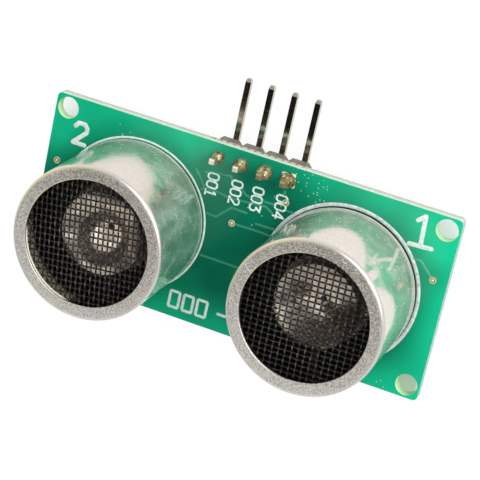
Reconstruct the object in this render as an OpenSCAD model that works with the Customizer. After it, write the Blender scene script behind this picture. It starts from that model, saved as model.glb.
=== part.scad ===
// Ultrasonic ranging module: a small circuit board with two open ultrasonic transducers,
// one that sends and one that receives, and a 4-way pin header along one long edge.
// Origin: centre of the mounting-hole pattern, on the board's back face.
// +X runs to the transmitter, +Y to the header edge, +Z out of the transducers.

/* [Circuit board] */
// Length of the board along X
board_l = 44.1; // [44:0.1:56]
// Width of the board along Y
board_w = 19.8; // [19.5:0.1:28]
// Thickness of the glass-epoxy laminate
board_t = 1.2; // [0.8:0.1:2]
// Radius of the board's corners
board_corner_r = 0.5; // [0.1:0.1:1]
// Diameter of the four corner holes
mount_hole_d = 2.3; // [1.6:0.1:2.4]
// Distance from a short edge to the corner holes' centres
mount_inset_x = 1.4; // [1.4:0.05:1.8]
// Distance from a long edge to the corner holes' centres
mount_inset_y = 1.4; // [1.25:0.05:1.6]

/* [Transducer can] */
// Distance between the two transducers' axes
can_pitch = 23.1; // [22.5:0.1:26]
// Shift of the transducer pair along X from the board's centre
can_shift_x = -0.12; // [-0.3:0.02:0.3]
// Shift of the transducer pair along Y from the board's centre
can_shift_y = -0.42; // [-0.6:0.02:0.2]
// Outer diameter of a can
can_d = 16; // [15.6:0.1:17]
// Height of a can above the board
can_h = 11.44; // [11:0.02:14]
// Sheet thickness of a can
can_wall = 0.5; // [0.3:0.05:0.6]
// Radius of the can's rounded front edge
can_front_r = 0.45; // [0.1:0.05:0.5]
// Radius of the can's rounded edge at the board
can_foot_r = 0.45; // [0.1:0.05:0.5]
// Diameter of the sound opening in the can's front
opening_d = 13.1; // [12:0.1:13.6]
// Radius of the opening's rounded edge
opening_edge_r = 0.15; // [0.05:0.05:0.2]
// Width of the lip that the can's foot is crimped into
crimp_w = 0.6; // [0.3:0.05:1]

/* [Wire screen] */
// Thickness of one wire of the screen
screen_wire = 0.18; // [0.12:0.02:0.3]
// Spacing of the screen's wires across the weave
screen_pitch_across = 1.2; // [1.2:0.05:1.6]
// Spacing of the screen's wires along the weave
screen_pitch_along = 1.4; // [1.4:0.05:1.8]
// Width of the pressed rim round the screen
screen_rim_w = 0.4; // [0.2:0.05:0.8]
// Turn of the receiver's screen about its axis, in degrees
receiver_screen_turn = 7; // [0:1:90]
// Turn of the transmitter's screen about its axis, in degrees
transmitter_screen_turn = 92; // [0:1:180]

/* [Transducer inside] */
// Thickness of the moulded base that closes the can
base_t = 2.3; // [1.5:0.1:3]
// Height of the silicone ring that carries the vibrator
ring_h = 2; // [1.5:0.1:2.4]
// Outer diameter of the silicone ring
ring_d = 8.2; // [7.6:0.1:9]
// Radial width of the silicone ring
ring_w = 1; // [0.6:0.1:1.2]
// Gap in the silicone ring that lets the signal wire through
ring_gap = 1; // [0.6:0.1:1.5]
// Depth of the ring's seat in the base
ring_seat_depth = 0.3; // [0.1:0.05:0.5]
// Clearance of the ring round the piezo disc, the terminals' heads and the case wire
ring_play = 0.04; // [0.02:0.01:0.1]
// Radial clearance of the parts that drop into a can or a seat
seat_play = 0.05; // [0.02:0.01:0.1]
// Diameter of the metal vibrator plate
plate_d = 9.4; // [8.8:0.1:10]
// Thickness of the metal vibrator plate
plate_t = 0.3; // [0.2:0.05:0.5]
// Diameter of the piezo disc
piezo_d = 5.8; // [4:0.1:6]
// Thickness of the piezo disc
piezo_t = 0.5; // [0.3:0.05:0.8]
// Outer diameter of the horn cone's mouth
cone_mouth_d = 8.6; // [7:0.1:9.6]
// Diameter of the cone's flat foot
cone_foot_d = 1.8; // [1.4:0.1:2.6]
// Diameter of the hole in the cone's foot
cone_hole_d = 0.7; // [0.4:0.05:1]
// Height of the cone from foot to mouth
cone_h = 2.84; // [2:0.02:3]
// Sheet thickness of the cone
cone_wall = 0.2; // [0.15:0.05:0.3]
// Width of the small flange at the cone's mouth
cone_flange_w = 0.25; // [0.1:0.05:0.4]
// Thickness of the two lead wires
lead_d = 0.2; // [0.1:0.02:0.3]

/* [Transducer terminals] */
// Distance between the two terminals of a transducer
terminal_pitch = 10; // [9.8:0.1:10.6]
// Diameter of a terminal
terminal_d = 1; // [0.6:0.1:1.2]
// Diameter of a terminal's rivet head inside the can
terminal_head_d = 1.7; // [1.3:0.1:1.7]
// Thickness of a terminal's rivet head
terminal_head_t = 0.4; // [0.2:0.1:0.6]
// Length of a terminal behind the board
terminal_tail = 2.2; // [1.9:0.1:2.6]
// Width of the strap that joins one terminal to the can
strap_w = 0.9; // [0.5:0.1:1.2]
// Thickness of that strap
strap_t = 0.25; // [0.1:0.05:0.3]
// Radial clearance of a terminal in its board hole
terminal_play = 0.15; // [0.05:0.05:0.3]

/* [Pin header] */
// Spacing of the header's pins
pin_pitch = 2.54; // [2:0.01:2.54]
// Distance from the board's long edge to the row of pins
header_inset = 1.5; // [1.3:0.01:1.6]
// Shift of the header along X from the board's centre
header_shift_x = 0.06; // [-0.5:0.02:0.5]
// Width of the header's plastic body across the row
header_w = 2.54; // [2:0.02:2.6]
// Height of the header's plastic body
header_h = 2; // [2:0.02:3]
// Size of the chamfers between the header's units
header_chamfer = 0.4; // [0.2:0.05:0.6]
// Thickness of the square pins
pin_t = 0.6; // [0.5:0.02:0.7]
// Length of a pin above the board's front
pin_above = 2.2; // [1.2:0.1:2.5]
// Radius of a pin's bend, measured at its middle line
pin_bend_r = 0.8; // [0.6:0.05:1.2]
// Depth of a bent pin's middle line behind the board
pin_drop = 3.7; // [3.4:0.1:4]
// Distance from the row of pins to the pins' tips
pin_reach = 7.4; // [5:0.1:9]
// Length of the taper at a pin's ends
pin_taper_l = 0.35; // [0.3:0.05:1]
// Thickness of a pin at the end of its taper
pin_tip_t = 0.4; // [0.2:0.02:0.5]
// Radial clearance of a pin's corners in its board hole
pin_play = 0.05; // [0.02:0.01:0.1]

/* [Solder joints] */
// Diameter of a header pin's solder joint
pin_solder_d = 1.5; // [1.4:0.1:2]
// Height of a header pin's solder joint
pin_solder_h = 0.8; // [0.5:0.1:0.85]
// Diameter of a terminal's solder joint
terminal_solder_d = 2.4; // [2:0.1:2.6]
// Height of a terminal's solder joint
terminal_solder_h = 1.2; // [0.8:0.1:1.5]
// Thickness of that joint's edge on the pad
solder_foot = 0.1; // [0.02:0.02:0.2]
// Thickness of that joint's edge on the terminal
solder_land = 0.05; // [0.02:0.01:0.1]

/* [Chips on the back] */
// Pitch of the chips' leads
lead_pitch = 1.27; // [1.2:0.01:1.27]
// Width of a chip's body
chip_w = 3.9; // [3.4:0.1:4]
// Height of a chip's body
chip_body_h = 1.4; // [1:0.05:1.45]
// Gap between a chip's body and the board
chip_standoff = 0.15; // [0.05:0.05:0.2]
// Span of a chip from lead tip to lead tip
chip_span = 6; // [5.6:0.1:6.2]
// Thickness of the lead-frame metal
lead_t = 0.2; // [0.1:0.02:0.24]
// Width of a chip's lead
lead_w = 0.42; // [0.3:0.02:0.5]
// Length of the flat end of a chip's lead
chip_foot_l = 0.55; // [0.4:0.05:0.7]
// Length of a chip's body past the middle of its end leads
chip_end_margin = 0.515; // [0.4:0.005:0.8]
// Draft of a moulded chip body on each face
chip_draft = 0.12; // [0.05:0.01:0.2]
// Height of the band at a chip body's widest line, past the lead's thickness
chip_band = 0.1; // [0.05:0.01:0.2]
// Diameter of the dimple that marks a chip's first lead
dimple_d = 0.8; // [0.5:0.1:1]
// Depth of that dimple
dimple_depth = 0.08; // [0.04:0.02:0.2]
// Distance from a transducer's axis to the chip outside it
side_chip_offset = 5.4; // [5.3:0.1:5.6]
// Distance from the board's centre line to the controller chip
controller_offset_y = 3.6; // [3.4:0.1:4.2]

/* [Small parts on the back] */
// Length of a chip resistor or capacitor
passive_l = 1.6; // [1.2:0.1:1.8]
// Width of a chip resistor or capacitor
passive_w = 0.8; // [0.6:0.05:0.9]
// Height of a chip resistor
resistor_h = 0.45; // [0.3:0.05:0.6]
// Height of a chip capacitor
capacitor_h = 0.8; // [0.5:0.05:1]
// Length of an end cap on a chip resistor or capacitor
end_cap_l = 0.3; // [0.2:0.05:0.4]
// Step by which an end cap stands proud of the part's body
end_cap_step = 0.03; // [0.01:0.01:0.05]
// Spacing of the parts in a column
passive_pitch = 1.5; // [1.2:0.05:1.6]
// Distance from the board's centre line to a column of small parts
column_offset_x = 7.6; // [7.2:0.1:8]
// Gap between the controller's leads and the crystal
crystal_gap = 1.2; // [0.6:0.1:2]
// Distance from the board's centre line to the crystal's middle
crystal_offset_x = 2.89; // [2.6:0.01:4]
// Distance from the board's centre line to the transistor's middle
transistor_offset_x = 4.34; // [3:0.02:5]
// Length of the crystal
crystal_l = 5; // [3.2:0.1:5.2]
// Width of the crystal
crystal_w = 3.2; // [2.5:0.1:3.4]
// Height of the crystal's ceramic base
crystal_base_h = 0.7; // [0.4:0.05:1]
// Height of the crystal's metal lid
crystal_lid_h = 0.4; // [0.2:0.05:0.6]
// Margin of the crystal's ceramic base round its lid
crystal_margin = 0.2; // [0.1:0.05:0.4]
// Length of the transistor's body
transistor_l = 2.9; // [2.6:0.1:3.1]
// Width of the transistor's body
transistor_w = 1.3; // [1.1:0.1:1.5]
// Height of the transistor's body
transistor_h = 0.95; // [0.8:0.05:1.1]
// Span of the transistor from lead tip to lead tip
transistor_span = 2.4; // [2.2:0.1:2.6]
// Distance of the transistor's outer leads from its middle
transistor_lead_x = 0.95; // [0.8:0.05:1.1]

/* [Hidden] */

$fn = 96;
eps = 0.01; // how far a cutter runs past the face it opens

can_r = can_d / 2;
can_bore_r = can_r - can_wall;
pin_count = 4;
header_y = board_w / 2 - header_inset;
pin_hole_r = pin_t / sqrt(2) + pin_play;
bend_z = pin_bend_r - pin_drop; // where a pin's bend starts
terminal_hole_r = terminal_d / 2 + terminal_play;

// Heights inside a can, all measured from the board's front face
base_z = can_wall;
base_top_z = base_z + base_t;
ring_z = base_top_z - ring_seat_depth;
plate_z = ring_z + ring_h;
piezo_z = plate_z - piezo_t;
cone_z = plate_z + plate_t;
screen_t = 1.5 * screen_wire;
screen_z = can_h - can_wall - screen_t;
head_top_z = base_top_z + terminal_head_t;
case_wire_y = -plate_d / 2 + lead_d; // where the case wire meets the plate

// Side chips stand outside the transducers, the controller between them
side_chip_x = can_pitch / 2 + side_chip_offset;
amplifier_leads = 14;
driver_leads = 16;
controller_leads = 14;
controller_y = can_shift_y - controller_offset_y;
upper_row_y = controller_y + chip_span / 2 + crystal_gap + crystal_w / 2;

// Columns of small parts, from the lower edge up: capacitors first, then resistors
column_parts = 8;
column_capacitors = 3;
column_y = controller_y - (chip_span - passive_w) / 2;

module board_outline() {
    l = board_l - 2 * board_corner_r;
    w = board_w - 2 * board_corner_r;
    square([board_l, w], center = true);
    square([l, board_w], center = true);
    for (x = [-l / 2, l / 2], y = [-w / 2, w / 2])
        translate([x, y]) circle(board_corner_r);
}

module at_mount_holes() {
    x = board_l / 2 - mount_inset_x;
    y = board_w / 2 - mount_inset_y;
    for (i = [-1, 1], j = [-1, 1])
        translate([i * x, j * y, 0]) children();
}

module at_header_pin(i) {
    translate([header_shift_x + (i - (pin_count + 1) / 2) * pin_pitch, header_y, 0]) children();
}

// side is -1 for the receiver and 1 for the transmitter
module at_transducer(side) {
    translate([can_shift_x + side * can_pitch / 2, can_shift_y, board_t]) children();
}

// end is 1 for the signal terminal and -1 for the one that is strapped to the can
module at_terminal(end) {
    translate([0, end * terminal_pitch / 2, 0]) children();
}

module on_back() {
    mirror([0, 0, 1]) children();
}

module circuit_board() {
    color("#128a66")
    difference() {
        linear_extrude(board_t) board_outline();
        at_mount_holes()
            translate([0, 0, -eps]) cylinder(h = board_t + 2 * eps, d = mount_hole_d);
        for (i = [1 : pin_count])
            at_header_pin(i)
                translate([0, 0, -eps]) cylinder(h = board_t + 2 * eps, r = pin_hole_r);
        for (side = [-1, 1], end = [-1, 1])
            at_transducer(side) at_terminal(end)
                translate([0, 0, -board_t - eps])
                    cylinder(h = board_t + 2 * eps, r = terminal_hole_r);
    }
}

// One unit of the header seen from above: a square with its corners cut
module header_unit() {
    half_l = pin_pitch / 2;
    half_w = header_w / 2;
    c = header_chamfer;
    polygon([
        [-half_l + c, -half_w], [half_l - c, -half_w], [half_l, -half_w + c],
        [half_l, half_w - c], [half_l - c, half_w], [-half_l + c, half_w],
        [-half_l, half_w - c], [-half_l, -half_w + c]
    ]);
}

module header_body() {
    color("#3b3633")
    difference() {
        for (i = [1 : pin_count])
            at_header_pin(i)
                translate([0, 0, -header_h]) linear_extrude(header_h) header_unit();
        for (i = [1 : pin_count])
            at_header_pin(i)
                translate([-pin_t / 2, -pin_t / 2, -header_h - eps])
                    cube([pin_t, pin_t, header_h + 2 * eps]);
    }
}

// Straight bar along +Z with four flats that narrow its far end
module tapered_bar(length) {
    slope = atan2((pin_t - pin_tip_t) / 2, pin_taper_l);
    difference() {
        translate([-pin_t / 2, -pin_t / 2, 0]) cube([pin_t, pin_t, length]);
        for (a = [0 : 90 : 270])
            rotate([0, 0, a])
                translate([pin_t / 2, -pin_t, length - pin_taper_l])
                    rotate([0, -slope, 0])
                        cube([pin_t, 2 * pin_t, 2 * pin_taper_l]);
    }
}

// A pin runs down through the board and the header's body, then bends towards +Y
module header_pin(i) {
    color("#a8a294")
    at_header_pin(i) {
        translate([0, 0, bend_z]) tapered_bar(board_t + pin_above - bend_z);
        translate([0, pin_bend_r, bend_z])
            bend_quarter();
        translate([0, pin_bend_r, -pin_drop])
            rotate([-90, 0, 0]) tapered_bar(pin_reach - pin_bend_r);
    }
}

// Quarter ring of square bar about the X axis, from -Y round to the underside
module bend_quarter() {
    rotate([0, 90, 0]) rotate([0, 0, -90])
        rotate_extrude(angle = 90)
            translate([pin_bend_r - pin_t / 2, -pin_t / 2]) square(pin_t);
}

// Cap of a sphere with the given foot diameter and height
module solder_dome(d, h) {
    r = (d * d / 4 + h * h) / (2 * h);
    intersection() {
        translate([0, 0, h - r]) sphere(r);
        cylinder(h = h, d = d);
    }
}

module header_solder_joints() {
    color("#b9b1a0")
    for (i = [1 : pin_count])
        at_header_pin(i)
            difference() {
                translate([0, 0, board_t]) solder_dome(pin_solder_d, pin_solder_h);
                translate([-pin_t / 2, -pin_t / 2, 0])
                    cube([pin_t, pin_t, board_t + pin_above]);
            }
}

// Quarter of a disc taken off the outer corner of a profile
module corner_cut(r) {
    difference() {
        square(r + eps);
        circle(r);
    }
}

module can_shell() {
    crimp_r = can_bore_r - crimp_w;
    color("#c9c7c2")
    rotate_extrude()
        difference() {
            square([can_r, can_h]);
            translate([0, can_wall]) square([can_bore_r, can_h - 2 * can_wall]);
            translate([0, can_h / 2]) square([opening_d / 2, can_h]);
            translate([0, -eps]) square([crimp_r, can_h / 2]);
            translate([can_r - can_front_r, can_h - can_front_r]) corner_cut(can_front_r);
            translate([can_r - can_foot_r, can_foot_r]) mirror([0, 1]) corner_cut(can_foot_r);
            translate([opening_d / 2 + opening_edge_r, can_h - opening_edge_r])
                mirror([1, 0]) corner_cut(opening_edge_r);
        }
}

// Parallel wires that cover a disc of radius r, spaced along Y
module wire_row(pitch, r) {
    n = floor(r / pitch);
    for (i = [-n : n])
        translate([-r, i * pitch - screen_wire / 2, 0])
            cube([2 * r, screen_wire, screen_wire]);
}

// Screen of crossing wires: one layer lies half a wire above the other, inside a pressed rim
module wire_screen(turn) {
    r = can_bore_r - seat_play;
    color("#2c2826")
    translate([0, 0, screen_z]) rotate([0, 0, turn]) {
        intersection() {
            union() {
                wire_row(screen_pitch_along, r);
                translate([0, 0, screen_wire / 2]) rotate([0, 0, 90])
                    wire_row(screen_pitch_across, r);
            }
            cylinder(h = screen_t, r = r);
        }
        difference() {
            cylinder(h = screen_t, r = r);
            translate([0, 0, -eps]) cylinder(h = screen_t + 2 * eps, r = r - screen_rim_w);
        }
    }
}

// Spun horn: flat foot with a hole, straight cone and a narrow flange at the mouth
module horn_cone() {
    mouth_r = cone_mouth_d / 2 - cone_flange_w;
    foot_r = cone_foot_d / 2;
    slope = atan2(mouth_r - foot_r, cone_h - cone_wall);
    run = cone_wall / cos(slope); // the sheet's thickness measured along R
    color("#d4d2cc")
    translate([0, 0, cone_z])
        rotate_extrude()
            polygon([
                [cone_hole_d / 2, 0],
                [foot_r, 0],
                [mouth_r, cone_h - cone_wall],
                [cone_mouth_d / 2, cone_h - cone_wall],
                [cone_mouth_d / 2, cone_h],
                [mouth_r - run + cone_wall * tan(slope), cone_h],
                [foot_r - run + cone_wall * tan(slope), cone_wall],
                [cone_hole_d / 2, cone_wall]
            ]);
}

module vibrator_plate() {
    color("#b8975a")
    translate([0, 0, plate_z]) cylinder(h = plate_t, d = plate_d);
}

module piezo_disc() {
    color("#d9d4c6")
    translate([0, 0, piezo_z]) cylinder(h = piezo_t, d = piezo_d);
}

// The ring clears the piezo disc, both terminals' heads and the case wire beside it
module silicone_ring() {
    notch_w = lead_d + 2 * ring_play;
    color("#e6e3da")
    translate([0, 0, ring_z])
        difference() {
            cylinder(h = ring_h, d = ring_d);
            translate([0, 0, -eps]) cylinder(h = ring_h + 2 * eps, d = ring_d - 2 * ring_w);
            translate([-ring_gap / 2, 0, -eps]) cube([ring_gap, ring_d, ring_h + 2 * eps]);
            translate([0, 0, ring_h - piezo_t - ring_play])
                cylinder(h = ring_h, d = piezo_d + 2 * ring_play);
            for (end = [-1, 1])
                at_terminal(end)
                    translate([0, 0, -eps])
                        cylinder(h = ring_h + 2 * eps, d = terminal_head_d + 2 * ring_play);
            translate([-notch_w / 2, case_wire_y - ring_d, -eps])
                cube([notch_w, ring_d + notch_w / 2, ring_h + 2 * eps]);
        }
}

module transducer_base() {
    color("#1d1c1b")
    translate([0, 0, base_z])
        difference() {
            cylinder(h = base_t, r = can_bore_r - seat_play);
            translate([0, 0, base_t - ring_seat_depth])
                cylinder(h = ring_seat_depth + eps, d = ring_d + 2 * seat_play);
            for (end = [-1, 1])
                at_terminal(end)
                    translate([0, 0, -eps]) cylinder(h = base_t + 2 * eps, d = terminal_d);
        }
}

// Round terminal with a rivet head that sits on the base
module terminal_pin() {
    tail_z = -board_t - terminal_tail;
    translate([0, 0, tail_z]) cylinder(h = base_top_z - tail_z + eps, d = terminal_d);
    translate([0, 0, base_top_z]) cylinder(h = terminal_head_t, d = terminal_head_d);
}

module signal_terminal() {
    color("#b9b6ae")
    at_terminal(1) terminal_pin();
}

// The case terminal has a strap that touches the can's bore
module case_terminal() {
    strap_end = can_bore_r - terminal_pitch / 2;
    color("#b9b6ae")
    at_terminal(-1) {
        terminal_pin();
        intersection() {
            translate([-strap_w / 2, -strap_end - can_wall, base_top_z])
                cube([strap_w, strap_end + can_wall, strap_t]);
            translate([0, terminal_pitch / 2, 0]) cylinder(h = can_h, r = can_bore_r);
        }
    }
}

// Round wire through points [y, z], with a ball at each corner
module lead_wire(points) {
    for (i = [1 : len(points) - 1]) {
        a = points[i - 1];
        b = points[i];
        translate([0, a[0], a[1]])
            rotate([atan2(a[0] - b[0], b[1] - a[1]), 0, 0])
                cylinder(h = norm(b - a), d = lead_d, $fn = 24);
        if (i < len(points) - 1)
            translate([0, b[0], b[1]]) sphere(d = lead_d, $fn = 24);
    }
}

// From the signal terminal's head through the ring's gap to the piezo disc
module signal_wire() {
    y0 = terminal_pitch / 2;
    y1 = piezo_d / 2 - 3 * lead_d;
    z = (head_top_z + piezo_z) / 2;
    color("#b5462f")
    lead_wire([[y0, head_top_z], [y0, z], [y1, z], [y1, piezo_z]]);
}

// From the case terminal's head up to the vibrator plate's rim
module case_wire() {
    y0 = -terminal_pitch / 2;
    z = (head_top_z + plate_z) / 2;
    color("#3a3a3a")
    lead_wire([[y0, head_top_z], [y0, z], [case_wire_y, z], [case_wire_y, plate_z]]);
}

// Solder cones where the two terminals leave the board's back
module terminal_solder_joints(side) {
    color("#bdb9b0")
    at_transducer(side)
        for (end = [-1, 1])
            at_terminal(end)
                translate([0, 0, -board_t]) on_back()
                    difference() {
                        rotate_extrude() solder_fillet(terminal_solder_d, terminal_solder_h);
                        translate([0, 0, -eps])
                            cylinder(h = terminal_solder_h + 2 * eps, d = terminal_d);
                    }
}

// Half section of a solder joint with a hollow flank round a pin
module solder_fillet(d, h) {
    reach = d / 2 - terminal_d / 2 - solder_land;
    rise = h - solder_foot;
    bow = (reach * reach + rise * rise) / (2 * reach);
    difference() {
        square([d / 2, h]);
        translate([terminal_d / 2 + solder_land + bow, h]) circle(bow);
    }
}

// Outline with a flat band at mid height and drafted flanks above and below it
function drafted_outline(half, low, high) =
    let (mid = (low + high) / 2, band = (lead_t + chip_band) / 2)
    [
        [-half + chip_draft, low], [half - chip_draft, low], [half, mid - band],
        [half, mid + band], [half - chip_draft, high], [-half + chip_draft, high],
        [-half, mid + band], [-half, mid - band]
    ];

module drafted_block(length, width, low, high) {
    intersection() {
        rotate([90, 0, 90])
            linear_extrude(length, center = true)
                polygon(drafted_outline(width / 2, low, high));
        rotate([90, 0, 0])
            linear_extrude(width, center = true)
                polygon(drafted_outline(length / 2, low, high));
    }
}

function chip_l(leads) = (leads / 2 - 1) * lead_pitch + 2 * chip_end_margin;

// Moulded chip body with the small dimple that marks its first lead
module chip_body(leads) {
    l = chip_l(leads);
    top = chip_standoff + chip_body_h;
    color("#262626")
    difference() {
        drafted_block(l, chip_w, chip_standoff, top);
        translate([-l / 2 + dimple_d, -chip_w / 2 + dimple_d, top - dimple_depth])
            cylinder(h = dimple_depth + eps, d = dimple_d, $fn = 32);
    }
}

// Gull-wing lead that starts on the body's flank at height mid and runs along +Y
module gull_lead(reach, mid, foot_l, w) {
    half = lead_t / 2;
    knee = reach - foot_l;
    shoulder = knee / 2;
    rotate([90, 0, 90])
        linear_extrude(w, center = true)
            polygon([
                [0, mid - half], [shoulder - half, mid - half], [knee - half, 0], [reach, 0],
                [reach, lead_t], [knee + half, lead_t], [shoulder + half, mid + half],
                [0, mid + half]
            ]);
}

module chip_leads(leads) {
    n = leads / 2;
    reach = (chip_span - chip_w) / 2;
    color("#b4b1aa")
    for (side = [0, 180], i = [0 : n - 1])
        rotate([0, 0, side])
            translate([(i - (n - 1) / 2) * lead_pitch, chip_w / 2, 0])
                gull_lead(reach, chip_standoff + chip_body_h / 2, chip_foot_l, lead_w);
}

module at_controller() {
    translate([0, controller_y, 0]) on_back() children();
}

module at_amplifier() {
    translate([can_shift_x - side_chip_x, can_shift_y, 0]) on_back() rotate([0, 0, 90]) children();
}

module at_driver() {
    translate([can_shift_x + side_chip_x, can_shift_y, 0]) on_back() rotate([0, 0, -90]) children();
}

// The transistor and the crystal share the row between the controller and the header
module at_transistor() {
    translate([transistor_offset_x, upper_row_y, 0]) on_back() children();
}

module at_crystal() {
    translate([-crystal_offset_x, upper_row_y, 0]) on_back() children();
}

module transistor() {
    color("#262626")
    at_transistor()
        drafted_block(transistor_l, transistor_w, chip_standoff / 2,
            chip_standoff / 2 + transistor_h);
}

module transistor_leads() {
    reach = (transistor_span - transistor_w) / 2;
    mid = (chip_standoff + transistor_h) / 2;
    color("#b4b1aa")
    at_transistor() {
        for (x = [-transistor_lead_x, transistor_lead_x])
            translate([x, transistor_w / 2, 0]) gull_lead(reach, mid, reach / 2, lead_w);
        rotate([0, 0, 180])
            translate([0, transistor_w / 2, 0]) gull_lead(reach, mid, reach / 2, lead_w);
    }
}

module crystal_base() {
    color("#6b5f50")
    at_crystal()
        translate([-crystal_l / 2, -crystal_w / 2, 0]) cube([crystal_l, crystal_w, crystal_base_h]);
}

module crystal_lid() {
    l = crystal_l - 2 * crystal_margin;
    w = crystal_w - 2 * crystal_margin;
    color("#c8c4ba")
    at_crystal()
        translate([-l / 2, -w / 2, crystal_base_h]) cube([l, w, crystal_lid_h]);
}

// Place k of a column on the given side: 0 is nearest the lower edge
module at_passive(side, k) {
    translate([side * column_offset_x, column_y + k * passive_pitch, 0]) on_back() children();
}

module passive_body(h) {
    l = passive_l - 2 * end_cap_l;
    w = passive_w - 2 * end_cap_step;
    translate([-l / 2, -w / 2, end_cap_step]) cube([l, w, h - 2 * end_cap_step]);
}

module passive_ends(h) {
    for (x = [-passive_l / 2, passive_l / 2 - end_cap_l])
        translate([x, -passive_w / 2, 0]) cube([end_cap_l, passive_w, h]);
}

module chip_resistors() {
    color("#1f2226")
    for (side = [-1, 1], k = [column_capacitors : column_parts - 1])
        at_passive(side, k) passive_body(resistor_h);
}

module chip_resistor_ends() {
    color("#c4c1ba")
    for (side = [-1, 1], k = [column_capacitors : column_parts - 1])
        at_passive(side, k) passive_ends(resistor_h);
}

module chip_capacitors() {
    color("#a98a5e")
    for (side = [-1, 1], k = [0 : column_capacitors - 1])
        at_passive(side, k) passive_body(capacitor_h);
}

module chip_capacitor_ends() {
    color("#c4c1ba")
    for (side = [-1, 1], k = [0 : column_capacitors - 1])
        at_passive(side, k) passive_ends(capacitor_h);
}

circuit_board();
header_body();
header_pin(1);  // header_pin_1
header_pin(2);  // header_pin_2
header_pin(3);  // header_pin_3
header_pin(4);  // header_pin_4
header_solder_joints();
at_transducer(-1) can_shell();  // receiver_can
at_transducer(-1) wire_screen(receiver_screen_turn);  // receiver_screen
at_transducer(-1) horn_cone();  // receiver_cone
at_transducer(-1) vibrator_plate();  // receiver_vibrator_plate
at_transducer(-1) piezo_disc();  // receiver_piezo_disc
at_transducer(-1) silicone_ring();  // receiver_silicone_ring
at_transducer(-1) transducer_base();  // receiver_base
at_transducer(-1) signal_terminal();  // receiver_signal_terminal
at_transducer(-1) case_terminal();  // receiver_case_terminal
at_transducer(-1) signal_wire();  // receiver_signal_wire
at_transducer(-1) case_wire();  // receiver_case_wire
terminal_solder_joints(-1);  // receiver_solder_joints
at_transducer(1) can_shell();  // transmitter_can
at_transducer(1) wire_screen(transmitter_screen_turn);  // transmitter_screen
at_transducer(1) horn_cone();  // transmitter_cone
at_transducer(1) vibrator_plate();  // transmitter_vibrator_plate
at_transducer(1) piezo_disc();  // transmitter_piezo_disc
at_transducer(1) silicone_ring();  // transmitter_silicone_ring
at_transducer(1) transducer_base();  // transmitter_base
at_transducer(1) signal_terminal();  // transmitter_signal_terminal
at_transducer(1) case_terminal();  // transmitter_case_terminal
at_transducer(1) signal_wire();  // transmitter_signal_wire
at_transducer(1) case_wire();  // transmitter_case_wire
terminal_solder_joints(1);  // transmitter_solder_joints
at_controller() chip_body(controller_leads);  // controller_chip
at_controller() chip_leads(controller_leads);  // controller_chip_leads
at_amplifier() chip_body(amplifier_leads);  // amplifier_chip
at_amplifier() chip_leads(amplifier_leads);  // amplifier_chip_leads
at_driver() chip_body(driver_leads);  // driver_chip
at_driver() chip_leads(driver_leads);  // driver_chip_leads
transistor();
transistor_leads();
crystal_base();
crystal_lid();
chip_resistors();
chip_resistor_ends();
chip_capacitors();
chip_capacitor_ends();
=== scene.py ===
import math

import bpy
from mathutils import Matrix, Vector


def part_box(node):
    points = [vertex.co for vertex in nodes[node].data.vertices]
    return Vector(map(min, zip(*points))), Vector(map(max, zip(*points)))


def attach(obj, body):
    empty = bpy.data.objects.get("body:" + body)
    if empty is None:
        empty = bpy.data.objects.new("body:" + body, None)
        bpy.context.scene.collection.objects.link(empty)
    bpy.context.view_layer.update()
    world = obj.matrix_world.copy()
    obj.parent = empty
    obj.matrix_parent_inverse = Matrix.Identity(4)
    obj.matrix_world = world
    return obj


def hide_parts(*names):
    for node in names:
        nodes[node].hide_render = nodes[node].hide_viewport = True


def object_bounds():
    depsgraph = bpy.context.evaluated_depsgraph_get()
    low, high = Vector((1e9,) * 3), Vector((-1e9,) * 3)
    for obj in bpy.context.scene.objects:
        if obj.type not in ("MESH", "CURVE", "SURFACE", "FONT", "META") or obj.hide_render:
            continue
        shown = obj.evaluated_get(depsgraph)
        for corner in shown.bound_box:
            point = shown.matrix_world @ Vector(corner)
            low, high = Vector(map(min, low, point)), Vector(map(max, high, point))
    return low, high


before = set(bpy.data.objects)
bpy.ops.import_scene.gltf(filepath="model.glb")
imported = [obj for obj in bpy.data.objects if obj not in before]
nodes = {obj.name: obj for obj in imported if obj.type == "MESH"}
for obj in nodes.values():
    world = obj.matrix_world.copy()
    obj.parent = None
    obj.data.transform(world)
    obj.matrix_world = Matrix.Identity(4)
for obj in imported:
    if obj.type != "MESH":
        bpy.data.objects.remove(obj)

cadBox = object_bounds()
# settings give lengths in mm and turns in degrees, except for the floor's side and the lamps, in metres
mm = 0.001
bpy.context.scene.view_settings.view_transform = "Standard"


def toMetres(values):
    return [value * mm for value in values]


# colours are written as sRGB hex and turned to linear here
def hexColour(code):
    channels = [int(code[i:i + 2], 16) / 255 for i in (1, 3, 5)]
    linear = [c / 12.92 if c <= 0.04045 else ((c + 0.055) / 1.055) ** 2.4 for c in channels]
    return linear + [1]


# a socket takes a plain value, a hex colour, an output, or a node, whose first output in use is linked
def setSockets(tree, node, settings):
    for name, value in settings.items():
        socket = node.inputs[name]
        if isinstance(name, str):
            socket = next(each for each in node.inputs if each.name == name and each.enabled)
        if isinstance(value, bpy.types.Node):
            value = next(each for each in value.outputs if each.enabled)
        if isinstance(value, bpy.types.NodeSocket):
            tree.links.new(value, socket)
        else:
            socket.default_value = hexColour(value) if isinstance(value, str) else value


# settings with a lower-case name are the node's properties, the others are its sockets by name or number;
# "From" and "To" stand for both ends of a range
def addNode(tree, kind, settings={}):
    node = tree.nodes.new("ShaderNode" + kind)
    sockets = {}
    for name, value in settings.items():
        if name in ("From", "To"):
            sockets[name + " Min"], sockets[name + " Max"] = value
        elif isinstance(name, str) and name[0].islower():
            setattr(node, name, value)
        else:
            sockets[name] = value
    setSockets(tree, node, sockets)
    return node


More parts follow.
